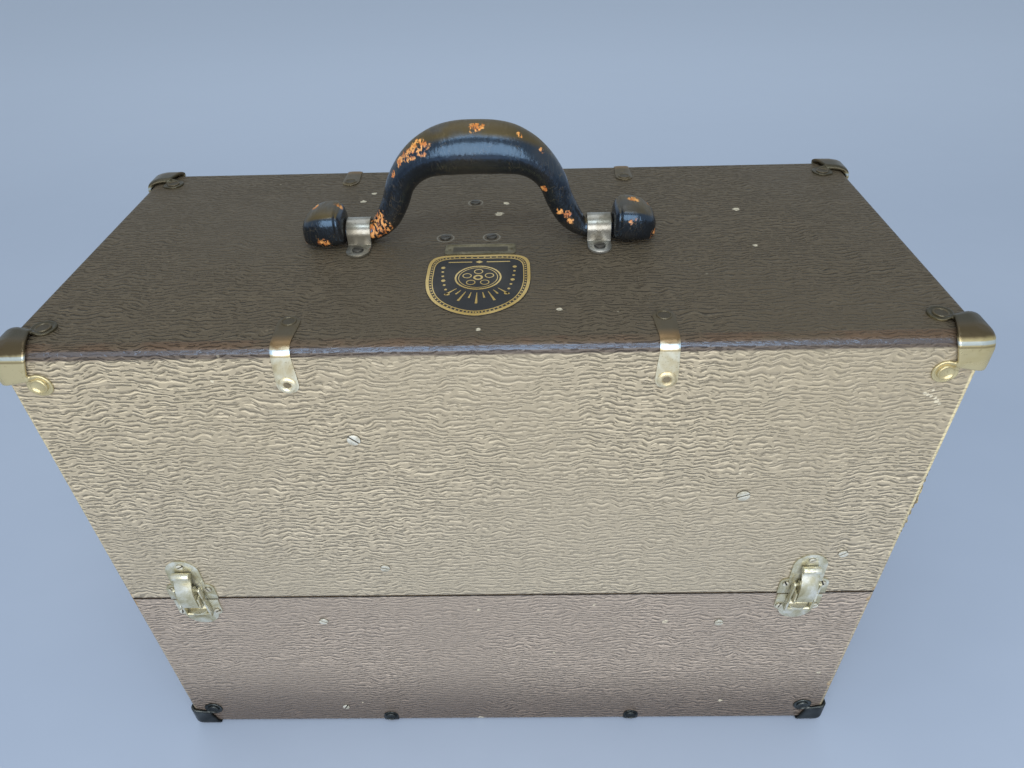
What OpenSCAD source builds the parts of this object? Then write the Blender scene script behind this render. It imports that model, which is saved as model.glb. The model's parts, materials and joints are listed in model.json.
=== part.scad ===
// Carrying case with a portable 16 mm projector inside it.
// Origin at the middle of the resting plane, +X along the length, -Y to the front, +Z up.

/* [Case] */
// Length of the case over its covering
case_w = 470; // [420:5:520]
// Depth of the case over its covering
case_d = 214; // [206:2:250]
// Height of the case over its covering, without the corner caps
case_h = 348; // [344:2:380]
// Height of the tray part, from the underside to the seam
tray_h = 155.5; // [146:0.5:164]
// Thickness of the plywood boards
board_t = 9.5; // [7:0.5:10]
// Thickness of the leatherette covering
skin_t = 0.8; // [0.5:0.1:1.2]
// Radius of the long horizontal edges
edge_r = 7; // [5:0.5:9]
// Radius of the lower long edges
low_r = 3; // [2.5:0.5:7]
// Radius of the upright edges
post_r = 4; // [3:0.5:6]
// Strip of bare board that the covering leaves at each side of the seam
seam_reveal = 0.6; // [0.3:0.1:1.2]
// Glue line between neighbouring boards
glue_gap = 0.05; // [0.03:0.01:0.1]
// Height that the locating strips stand above the seam
tongue_h = 9; // [6:1:12]
// Thickness of the locating strips
tongue_t = 3; // [2:0.5:4]
// Clearance between the locating strips and the cover
tongue_gap = 0.4; // [0.2:0.1:0.8]

/* [Corner caps and clips] */
// How far the corner caps stand proud of the covering
cap_proud = 2; // [1.5:0.1:3]
// Length of a corner cap from the edge
cap_size = 16; // [12:1:20]
// Length of a corner cap along the case
cap_in = 13; // [11:0.5:18]
// Radius of the ears of the corner caps
ear_r = 6.5; // [5:0.5:7.5]
// Distance of the ear centres from the long edges
ear_at = 19.5; // [17:0.5:21]
// Distance of the ear centres from the ends of the case
ear_in = 16; // [15:0.5:20]
// Sheet thickness of ears and edge clips
fit_t = 1; // [0.7:0.1:1.3]
// Distance of the left edge clips from the left end of the case
clip_in_l = 137.5; // [100:0.5:170]
// Distance of the right edge clips from the right end of the case
clip_in_r = 148.5; // [100:0.5:170]
// Left end of the case to the left clips of the tray
low_clip_in_l = 148; // [100:0.5:170]
// Right end of the case to the right clips of the tray
low_clip_in_r = 141.5; // [100:0.5:170]
// Width of the edge clips
clip_w = 11; // [8:0.5:12]
// Distance of the clip rivets from the edge
clip_l = 21.5; // [16:0.5:26]
// Distance of the lower front clip rivets from the bottom edge
clip_low = 7; // [6:0.5:12]
// Radius of the rivet heads
rivet_r = 4; // [3:0.25:4.5]
// Height of the domed rivet heads
rivet_h = 1.6; // [1:0.1:2]
// Height of the flat rivet heads below the case
rivet_flat = 0.7; // [0.4:0.1:0.9]
// Radius of the rivet shanks
shank_r = 1.4; // [1:0.1:1.8]
// Length of the rivet shanks below the sheet
shank_l = 7; // [4:0.5:8]

/* [Latches] */
// Distance of the left latches from the left end of the case
latch_in_l = 42; // [36:1:80]
// Distance of the right latches from the right end of the case
latch_in_r = 47; // [36:1:80]
// Half width of the upper latch plate at the seam
latch_hw = 15; // [13:0.5:17]
// Height of the middle of the upper plate's round top over the seam
latch_top = 27; // [25:0.5:30]
// Sheet thickness of the latch plates
latch_t = 1; // [0.8:0.1:1.2]
// Height of the lever pin over the seam
pin_w = 1.5; // [1.2:0.1:2.5]
// Distance of the lever pin from the covering
pin_v = 5.6; // [5.2:0.1:6.4]
// Distance between the lever pin and the link pin
pin_gap = 12.5; // [11:0.5:14]
// Inward set of the link pin when the latch is shut
over_centre = 1; // [0.6:0.1:1.4]
// Radius of the lever pin
lever_pin_r = 1; // [0.8:0.1:1.2]
// Radius of the link pin
link_pin_r = 0.9; // [0.7:0.1:1]
// Radial clearance of pins and shafts in their bores
run_gap = 0.06; // [0.03:0.01:0.1]
// Half width of the lever
lever_hw = 5.2; // [4.5:0.1:5.6]
// Thickness of the lever flanges, cheeks and link arms
arm_t = 1.1; // [0.9:0.1:1.2]
// Height of the keeper shelf under the seam
shelf_w = 11.35; // [10:0.05:13]
// Clearance between the crossbar and the keeper shelf
hook_gap = 0.35; // [0.3:0.05:0.5]
// Radius of the link's crossbar
bar_r = 1.1; // [0.9:0.1:1.2]

/* [Handle] */
// Middle of the handle along the case
handle_x = -7; // [-20:1:20]
// Distance of the strap loops from the middle of the handle
loop_x = 68.5; // [64:0.5:74]
// Width of the strap loops
loop_w = 13.5; // [12:0.5:16]
// Sheet thickness of the strap loops
loop_t = 1.6; // [1.2:0.1:2]
// Radius of the leather feet in the loops
foot_r = 5.6; // [5:0.1:6]
// Clearance between the feet and the loops
foot_gap = 0.5; // [0.3:0.1:0.8]
// Height of the feet's middle line over the covering
foot_z = 6.8; // [6.6:0.1:8]
// Height of the crown's middle line over the covering
crown_z = 54.5; // [50:0.5:62]
// Half thickness of the crown
crown_r = 14.1; // [12:0.1:15]
// Height of the rounded ends
toe_h = 21.5; // [17:0.5:23]
// Depth of the rounded ends
toe_d = 26; // [20:1:28]
// Distance of the loop screws from the handle's line
loop_screw_y = 14; // [13:0.5:16]

/* [Labels] */
// Width of the label on the top
label_w = 57; // [50:1:62]
// Length of the label on the top
label_l = 64; // [56:1:68]
// Middle of the label along the case
label_x = -6; // [-15:1:5]
// Middle of the label across the case
label_y = -51; // [-56:1:-50]
// Thickness of the label
label_t = 0.4; // [0.2:0.1:0.6]
// Length of the narrow plate
plate_l = 40; // [34:1:46]
// Width of the narrow plate
plate_w = 12; // [9:0.5:12]
// Middle of the narrow plate across the case
plate_y = -12.8; // [-13:0.1:-11]

/* [Projector base] */
// Height of the rubber pads below the base
pad_h = 10; // [8:0.5:12]
// Left end of the base
base_x0 = -158; // [-162:1:-156]
// Right end of the base
base_x1 = 142; // [130:1:146]
// Front side of the base
base_y0 = -64; // [-67:1:-60]
// Back side of the base
base_y1 = 66; // [60:1:70]
// Height of the base casting
base_h = 26; // [24:1:30]
// How far the hold-down lugs stand out from the base
lug_out = 13; // [12:0.5:15]
// Radius of the hold-down lugs
lug_r = 10; // [9:0.5:11]
// Share of the spare length that lies at the projector's left
left_share = 0.675; // [0.4:0.005:0.75]
// Wall of the base casting
base_t = 5; // [4:0.5:6]
// Radius of the hold-down screws
hold_r = 3; // [2.5:0.5:4]

/* [Mechanism] */
// Height of the optical axis over the base
beam_z = 157; // [150:1:160]
// Distance of the optical axis in front of the middle
beam_y = -33; // [-34:0.5:-32]
// Front face of the main plate
plate_y0 = -12; // [-13:0.5:-11]
// Thickness of the main plate
main_t = 8; // [6:0.5:9]
// Share of the height over the upper sprocket that the main plate takes
head_share = 0.5; // [0.45:0.01:0.55]
// Wall of the mechanism box
box_t = 4; // [3:0.5:5]
// Depth of the mechanism box behind the main plate
box_d = 54; // [50:1:56]
// Distance of the sprocket shafts above and below the optical axis
sprocket_dz = 60; // [56:1:64]
// Radius of the film sprockets
sprocket_r = 14.5; // [12:0.5:15]
// Radius of the worm wheels
wheel_r = 12; // [10:0.5:13]
// Radius of the worms
worm_r = 6; // [5:0.5:7]
// Working gap between gears
gear_gap = 0.3; // [0.2:0.05:0.5]
// Radius of the shutter
shutter_r = 53; // [50:0.5:54]
// Position of the shutter shaft behind the middle
shaft_y = 12; // [10:0.5:14]
// Radius of the shutter shaft
shaft_r = 4; // [3:0.5:5]
// Radius of the lens barrel
barrel_r = 16.5; // [14:0.5:17]
// Length of the lens barrel
barrel_l = 81; // [70:1:90]

/* [Motor and lamp] */
// Position of the motor behind the middle
motor_y = 32; // [30:0.5:33]
// Height of the motor over the base
motor_z = 38; // [38:0.5:39]
// Radius of the motor housing
motor_r = 32; // [28:0.5:32.5]
// Radius of the motor pulley groove
pulley_s = 9; // [7:0.5:11]
// Radius of the shutter pulley groove
pulley_b = 15; // [12:0.5:17]
// Thickness of the belt
belt_t = 2; // [1.5:0.1:2.5]
// Middle of the lamphouse along the case
lamp_x = -118; // [-120:1:-117]
// Radius of the lamphouse
lamp_r = 36; // [33:0.5:36]
// Sheet thickness of the lamphouse
lamp_t = 1.5; // [1:0.1:2]
// Height of the lamphouse cap over the lamphouse
lamp_cap_h = 15; // [14:0.5:16]
// Room between the lamphouse cap and the roof of the case
roof_room = 28.4; // [26:0.2:36]
// Radius of the lamp
bulb_r = 15; // [12:0.5:16]
// Room between the top of the lamp and the top of the lamphouse
bulb_room = 38; // [10:1:50]

/* [Stored reel and arms] */
// Radius of the stored reel
reel_r = 89; // [80:1:89]
// Width of the stored reel
reel_w = 16; // [14:0.5:17]
// Room between the stored reel and the right wall of the case
reel_wall = 12.7; // [11:0.1:15]
// Thickness of the reel flanges
flange_t = 1.2; // [0.8:0.1:1.5]
// Thickness of the battens in the cover
batten_t = 8; // [6:0.5:10]

/* [Hidden] */
$fn = 48;

z_bot = cap_proud;
z_top = z_bot + case_h;
z_seam = z_bot + tray_h;
floor_z = z_bot + skin_t + board_t;
roof_z = z_top - skin_t - board_t;
in_x = case_w/2 - skin_t - board_t;
in_y = case_d/2 - skin_t - board_t;
base_z = floor_z + pad_h;
deck_z = base_z + base_h;
axis_z = deck_z + beam_z;
clip_xl = clip_in_l - case_w/2;
clip_xr = case_w/2 - clip_in_r;
low_clip_xs = [low_clip_in_l - case_w/2, case_w/2 - low_clip_in_r];
latch_xl = latch_in_l - case_w/2;
latch_xr = case_w/2 - latch_in_r;
// lines of the two stored arms, as x and z of their ends
arm_a = [[-70, z_seam + 24.5], [-70, roof_z - 35.7]];
arm_b = [[in_x - 42.7, z_seam + 46.5], [in_x - 135, roof_z - 48.5]];
nickel = [0.62, 0.60, 0.52];
hide = [0.22, 0.16, 0.13];
steel = [0.66, 0.67, 0.68];
black = [0.10, 0.10, 0.11];
bronze = [0.30, 0.27, 0.22];
wood = [0.72, 0.56, 0.36];

// plan shape with round corners, about the middle
module round_rect(w, d, r) {
    square([w - 2*r, d], center = true);
    square([w, d - 2*r], center = true);
    for (sx = [-1, 1], sy = [-1, 1]) translate([sx*(w/2 - r), sy*(d/2 - r)]) circle(r = r);
}

// shape of a side, with its own radius for the upper and for the lower corners
module side_shape(w, h, up_r, down_r) {
    translate([-w/2, down_r - h/2]) square([w, h - up_r - down_r]);
    translate([up_r - w/2, h/2 - up_r - 1]) square([w - 2*up_r, up_r + 1]);
    translate([down_r - w/2, -h/2]) square([w - 2*down_r, down_r + 1]);
    for (s = [-1, 1]) {
        translate([s*(w/2 - up_r), h/2 - up_r]) circle(r = up_r);
        translate([s*(w/2 - down_r), down_r - h/2]) circle(r = down_r);
    }
}

// the closed case, with every face set in by k
module envelope(k) {
    w = case_w - 2*k;
    d = case_d - 2*k;
    h = case_h - 2*k;
    zm = z_bot + case_h/2;
    intersection() {
        translate([0, 0, z_bot + k]) linear_extrude(h) round_rect(w, d, post_r - k);
        translate([-w/2, 0, zm]) rotate([90, 0, 90]) linear_extrude(w) side_shape(d, h, edge_r - k, low_r - k);
        translate([0, d/2, zm]) rotate([90, 0, 0]) linear_extrude(d) side_shape(w, h, edge_r - k, low_r - k);
    }
}

module slab(z0, z1) translate([-case_w, -case_d, z0]) cube([2*case_w, 2*case_d, z1 - z0]);

module block(a, b) translate(a) cube(b - a);

// frame on a face of the case: local z points out of it
module on_face(f, u, v) {
    if (f == "T") translate([u, v, z_top]) children();
    if (f == "D") translate([u, v, z_bot]) rotate([180, 0, 0]) children();
    if (f == "F") translate([u, -case_d/2, v]) rotate([90, 0, 0]) children();
    if (f == "B") translate([u, case_d/2, v]) rotate([90, 0, 180]) children();
    if (f == "L") translate([-case_w/2, u, v]) rotate([90, 0, -90]) children();
    if (f == "R") translate([case_w/2, u, v]) rotate([90, 0, 90]) children();
}

module dome(r, h) {
    s = (r*r + h*h)/(2*h);
    intersection() {
        translate([0, 0, h - s]) sphere(r = s, $fn = 96);
        cylinder(r = r, h = h);
    }
}

// places of the rivets: face, u, v, seat height, head height
ear_u = case_w/2 - ear_in;
ear_v = case_d/2 - ear_at;
function ear_spots(zt, flat, f) = concat(
    [for (sx = [-1, 1], sy = [-1, 1]) [f, sx*ear_u, sy*ear_v, fit_t, flat]],
    [for (sx = [-1, 1], g = ["F", "B"]) [g, sx*ear_u, zt, fit_t, rivet_h]],
    [for (sy = [-1, 1], g = ["L", "R"]) [g, sy*ear_v, zt, fit_t, rivet_h]]);
clip_xs = [clip_xl, clip_xr];
cover_rivet_at = concat(ear_spots(z_top - ear_at, rivet_h, "T"),
    [for (x = clip_xs, sy = [-1, 1]) ["T", x, sy*(case_d/2 - clip_l), fit_t, rivet_h]],
    [for (x = clip_xs, g = ["F", "B"]) [g, x, z_top - clip_l, fit_t, rivet_h]]);
tray_rivet_at = concat(ear_spots(z_bot + ear_at, rivet_flat, "D"),
    [for (x = low_clip_xs, sy = [-1, 1]) ["D", x, sy*(case_d/2 - clip_l), fit_t, rivet_flat]],
    [for (x = low_clip_xs, g = ["F", "B"]) [g, x, z_bot + clip_low, fit_t, rivet_h]]);

module rivets(list) {
    for (p = list) on_face(p[0], p[1], p[2]) {
        translate([0, 0, p[3]]) dome(p[4] < 1 ? rivet_r - 0.6 : rivet_r - (p[0] == "T" ? 0 : 0.2), p[4]);
        translate([0, 0, p[3] - fit_t - shank_l]) cylinder(r = shank_r, h = shank_l + fit_t + 0.2);
    }
}
module rivet_bores(list) {
    for (p = list) on_face(p[0], p[1], p[2])
        translate([0, 0, -shank_l]) cylinder(r = shank_r, h = shank_l + fit_t + 1);
}

// slotted round-head screws: face, u, v, seat height, head radius, shank length
latch_xs = [latch_xl, latch_xr];
screw_up = 10.3;
latch_screw_u = 11.2;
latch_screw_top = 5.4;
keeper_screw_u = 11.2;
keeper_screw_w = 12;
cover_screw_at = concat(
    [for (g = ["F", "B"], x = latch_xs, s = [-1, 1]) [g, x + s*latch_screw_u, z_seam + screw_up, latch_t, 2.3, 7]],
    [for (g = ["F", "B"], x = latch_xs) [g, x, z_seam + latch_top + latch_screw_top, latch_t, 2.3, 7]],
    [for (s = [-1, 1], y = [-1, 1]) ["T", handle_x + s*loop_x, y*loop_screw_y, loop_t, 3.4, 8]],
    [["T", -27, 2, 0, 3.2, 8], ["T", 0, 2, 0, 3.2, 8], ["T", -11.5, 49.6, 0, 3.2, 8]],
    [["F", arm_a[1][0] - 1, arm_a[1][1] - 12.5, 0, 3.6, 14], ["F", arm_a[0][0] + 1.5, arm_a[0][1] + 4, 0, 3, 14],
     ["F", arm_b[0][0] - 44.5, arm_b[0][1] + 42, 0, 3.8, 14], ["F", in_x - 19.7, z_seam + 37.5, 0, 3, 8]]);
tray_screw_at = concat(
    [for (g = ["F", "B"], x = latch_xs, s = [-1, 1]) [g, x + s*keeper_screw_u, z_seam - keeper_screw_w, latch_t, 2.3, 7]],
    [["F", -116, z_bot + 129.5, 0, 3, 8], ["F", 142, z_bot + 124.5, 0, 3, 8], ["F", -119, z_bot + 20.5, 0, 2.6, 8]]);

module screws(list) {
    for (p = list) on_face(p[0], p[1], p[2]) {
        translate([0, 0, p[3]]) difference() {
            dome(p[4], 0.4*p[4]);
            translate([-p[4] - 1, -0.4, 0.2*p[4]]) cube([2*p[4] + 2, 0.8, p[4]]);
        }
        translate([0, 0, -p[5]]) cylinder(r = 0.45*p[4], h = p[5] + p[3] + 0.1);
    }
}
module screw_bores(list) {
    for (p = list) on_face(p[0], p[1], p[2])
        translate([0, 0, -p[5]]) cylinder(r = 0.45*p[4], h = p[5] + p[3] + 1);
}

module caps(top) {
    z0 = top ? z_top - cap_size : z_bot - cap_proud - 1;
    z1 = top ? z_top + cap_proud + 1 : z_bot + cap_size;
    intersection() {
        difference() {
            envelope(-cap_proud);
            envelope(0);
        }
        for (sx = [-1, 1], sy = [-1, 1])
            translate([sx*(case_w/2 + cap_proud - (cap_in + cap_proud)/2), sy*(case_d/2 + cap_proud - (cap_size + cap_proud)/2), (z0 + z1)/2])
                cube([cap_in + cap_proud, cap_size + cap_proud, z1 - z0], center = true);
    }
    ez = top ? z_top - ear_at : z_bot + ear_at;
    for (sx = [-1, 1], sy = [-1, 1]) on_face(top ? "T" : "D", sx*ear_u, sy*ear_v) cylinder(r = ear_r, h = fit_t);
    for (sx = [-1, 1], g = ["F", "B"]) on_face(g, sx*ear_u, ez) cylinder(r = ear_r, h = fit_t);
    for (sy = [-1, 1], g = ["L", "R"]) on_face(g, sy*ear_v, ez) cylinder(r = ear_r, h = fit_t);
}

// strips bent over the long edges
module clips(top) {
    low = top ? clip_l : clip_low;
    xs = top ? clip_xs : low_clip_xs;
    intersection() {
        difference() {
            envelope(-fit_t);
            envelope(0);
        }
        for (x = xs, sy = [-1, 1]) {
            zc = top ? z_top - low : z_bot - 2;
            translate([x - clip_w/2, sy > 0 ? case_d/2 - clip_l : -case_d/2 - 2, zc])
                cube([clip_w, clip_l + 2, low + 2]);
        }
    }
    for (x = xs, sy = [-1, 1]) on_face(top ? "T" : "D", x, sy*(case_d/2 - clip_l)) cylinder(r = clip_w/2, h = fit_t);
    for (x = xs, g = ["F", "B"]) on_face(g, x, top ? z_top - low : z_bot + low) cylinder(r = clip_w/2, h = fit_t);
}

// four walls and one panel, as five boards with a glue line between them
module boards(z0, z1, panel0, panel1) {
    intersection() {
        envelope(skin_t);
        union() {
            slab(panel0, panel1);
            for (s = [-1, 1]) {
                block([-case_w/2, s > 0 ? in_y : -case_d/2, z0], [case_w/2, s > 0 ? case_d/2 : -in_y, z1]);
                block([s > 0 ? in_x : -case_w/2, -in_y + glue_gap, z0], [s > 0 ? case_w/2 : -in_x, in_y - glue_gap, z1]);
            }
        }
    }
}

module tray_boards() color(wood) difference() {
    boards(floor_z + glue_gap, z_seam, z_bot, floor_z);
    rivet_bores(tray_rivet_at);
    screw_bores(tray_screw_at);
    projector() hold_screws_at() translate([0, 0, floor_z - 8]) cylinder(r = hold_r, h = 12);
}
module cover_boards() color(wood) difference() {
    boards(z_seam, roof_z - glue_gap, roof_z, z_top);
    rivet_bores(cover_rivet_at);
    screw_bores(cover_screw_at);
}
module tray_covering() color(hide) difference() {
    intersection() {
        difference() {
            envelope(0);
            envelope(skin_t);
        }
        slab(0, z_seam - seam_reveal);
    }
    rivet_bores(tray_rivet_at);
    screw_bores(tray_screw_at);
}
module cover_covering() color(hide) difference() {
    intersection() {
        difference() {
            envelope(0);
            envelope(skin_t);
        }
        slab(z_seam + seam_reveal, z_top + 1);
    }
    rivet_bores(cover_rivet_at);
    screw_bores(cover_screw_at);
}
module tray_corners() color(nickel) difference() {
    caps(false);
    rivet_bores(tray_rivet_at);
}
module cover_corners() color(nickel) difference() {
    caps(true);
    rivet_bores(cover_rivet_at);
}
module tray_edge_clips() color(nickel) difference() {
    clips(false);
    rivet_bores(tray_rivet_at);
}
module cover_edge_clips() color(nickel) difference() {
    clips(true);
    rivet_bores(cover_rivet_at);
}
module tray_rivets() color(nickel) rivets(tray_rivet_at);
module cover_rivets() color(nickel) rivets(cover_rivet_at);
module tray_screws() color(steel) screws(tray_screw_at);
module cover_screws() color(steel) screws(cover_screw_at);

// thin strips inside the tray that centre the cover
module tongue(l) {
    linear_extrude(l) polygon([[0, -14], [tongue_t, -14], [tongue_t, tongue_h - 1.5], [tongue_t - 1, tongue_h],
        [tongue_gap + 0.4, tongue_h], [tongue_gap, tongue_h - 1], [tongue_gap, -1], [0, -1]]);
}
rack_half = 18;
reel_x = in_x - reel_wall - reel_w/2;
rack_x0 = reel_x - rack_half;
rack_x1 = reel_x + rack_half;
reel_z = floor_z + 4 + reel_r;
module tray_cleats() color(wood) {
    translate([-in_x + tongue_t + 0.3, -in_y, z_seam]) rotate([90, 0, 90]) tongue(2*(in_x - tongue_t - 0.3));
    translate([in_x - tongue_t - 0.3, in_y, z_seam]) rotate([90, 0, -90]) tongue(2*(in_x - tongue_t - 0.3));
    translate([-in_x, in_y, z_seam]) rotate([90, 0, 0]) tongue(2*in_y);
    translate([in_x, -in_y, z_seam]) rotate([90, 0, 180]) tongue(2*in_y);
    for (s = [-1, 1]) difference() {
        block([rack_x0, s*47 - 12, floor_z], [rack_x1, s*47 + 12, floor_z + 34]);
        block([reel_x - reel_w/2 - 0.5, s*47 - 13, floor_z + 6], [reel_x + reel_w/2 + 0.5, s*47 + 13, floor_z + 40]);
    }
    block([rack_x0 + 4, -14, floor_z], [rack_x1 - 4, 14, floor_z + 3.8]);
}

// hand-turned latch: local x along the case, y up, z out of the covering
module upper_plate() {
    difference() {
        union() {
            linear_extrude(latch_t) difference() {
                union() {
                    translate([-latch_hw, seam_reveal]) square([2*latch_hw, screw_up - seam_reveal]);
                    for (s = [-1, 1]) translate([s*(latch_hw - 4.5), screw_up]) circle(r = 4.5);
                    translate([-10.2, screw_up]) square([20.4, latch_top - screw_up]);
                    translate([0, latch_top]) circle(r = 10.2);
                }
            }
            for (s = [-1, 1]) translate([s*(lever_hw + 0.4 + arm_t/2) - arm_t/2, 0, 0]) rotate([90, 0, 90])
                linear_extrude(arm_t) {
                    translate([seam_reveal + 8.4/2, pin_v/2]) square([8.4, pin_v], center = true);
                    translate([pin_w, pin_v]) circle(r = lever_pin_r + 1.7);
                    translate([pin_w, 1.6]) square([8 + seam_reveal - pin_w, pin_v + 0.6]);
                }
        }
        for (s = [-1, 1]) translate([s*latch_screw_u, screw_up, -1]) cylinder(r = 0.45*2.3, h = 4);
        translate([0, latch_top + latch_screw_top, -1]) cylinder(r = 0.45*2.3, h = 4);
    }
    translate([-lever_hw - 0.4 - arm_t, pin_w, pin_v]) rotate([0, 90, 0]) cylinder(r = lever_pin_r, h = 2*(lever_hw + 0.4 + arm_t));
}
module keeper() {
    difference() {
        union() {
            linear_extrude(latch_t) {
                translate([-latch_hw + 1, -keeper_screw_w]) square([2*latch_hw - 2, keeper_screw_w - seam_reveal - 0.3]);
                for (s = [-1, 1]) translate([s*(latch_hw - 5.2), -keeper_screw_w]) circle(r = 4.2);
                translate([0, -keeper_screw_w - 2]) circle(r = 11);
            }
            translate([0, -shelf_w, 0]) rotate([90, 0, 0]) translate([0, 0, -1.2]) linear_extrude(1.2) intersection() {
                translate([0, -1.8]) circle(r = 6.8);
                translate([-8, 0.3]) square([16, 8]);
            }
        }
        for (s = [-1, 1]) translate([s*keeper_screw_u, -keeper_screw_w, -1]) cylinder(r = 0.45*2.3, h = 4);
    }
}
module each_latch() for (g = ["F", "B"], x = latch_xs) on_face(g, x, z_seam) children();
module latch_plates() color(nickel) each_latch() upper_plate();
module keeper_plates() color(nickel) each_latch() keeper();

link_v = pin_v - over_centre;
link_w = pin_w + pin_gap;
hook_v = latch_t + bar_r + 0.6;
hook_w = -shelf_w - hook_gap - bar_r;
// profiles are drawn as (height, distance from the covering) and turned to run along x
module lever() {
    difference() {
        union() {
            translate([-lever_hw, 0, 0]) rotate([90, 0, 90]) linear_extrude(2*lever_hw) {
                polygon([[-0.7, pin_v + 1], [0.8, pin_v + 2.4], [8, pin_v + 3], [link_w, pin_v + 2.8], [link_w + 4.5, pin_v + 1.6],
                    [link_w + 8, pin_v - 0.2], [link_w + 11, pin_v - 1.2], [link_w + 11, pin_v - 2.6], [link_w + 7.4, pin_v - 1.2],
                    [link_w + 3.9, pin_v + 0.5], [link_w - 0.3, pin_v + 1.6], [8, pin_v + 1.8], [1.5, pin_v + 1.4], [0.2, pin_v + 0.4]]);
                translate([link_w + 12.6, pin_v - 1.7]) circle(r = 2.3);
            }
            for (s = [-1, 1]) translate([s*(lever_hw - arm_t/2) - arm_t/2, 0, 0]) rotate([90, 0, 90]) linear_extrude(arm_t) {
                polygon([[pin_w - 1.3, pin_v - 2.2], [pin_w - 2.4, pin_v], [pin_w - 0.9, pin_v + 2], [8, pin_v + 2.4], [link_w, pin_v + 2.3],
                    [link_w + 3.8, pin_v + 1.2], [link_w + 3.2, link_v], [link_w + 1.6, link_v - 2], [link_w - 1, link_v - 2.2], [6, pin_v - 2.6]]);
            }
        }
        translate([-20, pin_w, pin_v]) rotate([0, 90, 0]) cylinder(r = lever_pin_r + run_gap, h = 40);
        translate([-20, link_w, link_v]) rotate([0, 90, 0]) cylinder(r = link_pin_r + run_gap, h = 40);
        // clears the pins between the flanges
        translate([-lever_hw + arm_t, pin_w - 4, -1]) cube([2*(lever_hw - arm_t), link_w - pin_w + 8, pin_v + 1.3 + 0.1]);
    }
}
arm_u = lever_hw + 0.4 + arm_t + 0.5;
arm_hw = 1.5;
module link() {
    dw = link_w - hook_w;
    dv = link_v - hook_v;
    l = sqrt(dw*dw + dv*dv);
    nw = -dv/l*arm_hw;
    nv = dw/l*arm_hw;
    for (s = [-1, 1]) translate([s*(arm_u + arm_t/2) - arm_t/2, 0, 0]) rotate([90, 0, 90]) linear_extrude(arm_t) {
        polygon([[link_w + nw, link_v + nv], [link_w - nw, link_v - nv], [hook_w - nw, hook_v - nv], [hook_w + nw, hook_v + nv]]);
        translate([link_w, link_v]) circle(r = arm_hw);
        translate([hook_w, hook_v]) circle(r = arm_hw);
    }
    translate([-arm_u - arm_t, link_w, link_v]) rotate([0, 90, 0]) cylinder(r = link_pin_r, h = 2*(arm_u + arm_t));
    translate([-arm_u - arm_t, hook_w, hook_v]) rotate([0, 90, 0]) cylinder(r = bar_r, h = 2*(arm_u + arm_t));
}
module lever_fl() color(nickel) on_face("F", latch_xl, z_seam) lever();
module lever_fr() color(nickel) on_face("F", latch_xr, z_seam) lever();
module lever_bl() color(nickel) on_face("B", latch_xl, z_seam) lever();
module lever_br() color(nickel) on_face("B", latch_xr, z_seam) lever();
module link_fl() color(nickel) on_face("F", latch_xl, z_seam) link();
module link_fr() color(nickel) on_face("F", latch_xr, z_seam) link();
module link_bl() color(nickel) on_face("B", latch_xl, z_seam) link();
module link_br() color(nickel) on_face("B", latch_xr, z_seam) link();

// handle: rings along a line of control points, x out from the middle, height, half height, half width
toe_z = toe_h/2 + 0.9;
leg = [[0, crown_z, crown_r, crown_r - 0.7], [10, crown_z - 0.4, crown_r - 0.1, crown_r - 0.8], [19, crown_z - 1.9, crown_r - 1, crown_r - 1.4],
    [28, crown_z - 5.4, crown_r - 3, crown_r - 2.8], [35.7, crown_z - 11.3, crown_r - 4.9, crown_r - 4.4], [41.8, crown_z - 19.5, 8, 8.4],
    [46, 24.5, 7.6, 7.8], [51, 15.3, 7.2, 7], [55.5, 10, 6.2, 6.2], [60, foot_z + 0.3, foot_r - 0.1, foot_r],
    [loop_x - loop_w/2, foot_z, foot_r - 0.1, foot_r], [loop_x, foot_z, foot_r - 0.2, foot_r], [loop_x + loop_w/2, foot_z, foot_r - 0.1, foot_r],
    [76, foot_z + 0.5, foot_r + 0.5, foot_r + 1], [77.4, toe_z - 1.6, toe_h/2 - 1.8, toe_d/2 - 2.6], [80.6, toe_z - 0.1, toe_h/2 - 0.2, toe_d/2 - 0.6],
    [85.6, toe_z, toe_h/2, toe_d/2], [91.2, toe_z - 0.5, toe_h/2 - 0.6, toe_d/2 - 0.6], [95.9, toe_z - 1.8, toe_h/2 - 2.2, toe_d/2 - 2],
    [99.1, toe_z - 3.3, toe_h/2 - 4.2, toe_d/2 - 4.6], [100.7, toe_z - 4.3, 3.8, 4.6]];
nleg = len(leg);
spine = concat([for (i = [nleg - 1:-1:1]) [-leg[i][0], leg[i][1], leg[i][2], leg[i][3]]], leg);
nsp = len(spine);
function cr(a, b, c, d, t) = 0.5*(2*b + (c - a)*t + (2*a - 5*b + 4*c - d)*t*t + (3*b - a - 3*c + d)*t*t*t);
function sp(i) = spine[max(0, min(nsp - 1, i))];
sub = 2;
rings = [for (i = [0:nsp - 2], k = [0:sub - 1]) cr(sp(i - 1), sp(i), sp(i + 1), sp(i + 2), k/sub)];
all_rings = concat(rings, [spine[nsp - 1]]);
nr = len(all_rings);
ns = 16;
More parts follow.
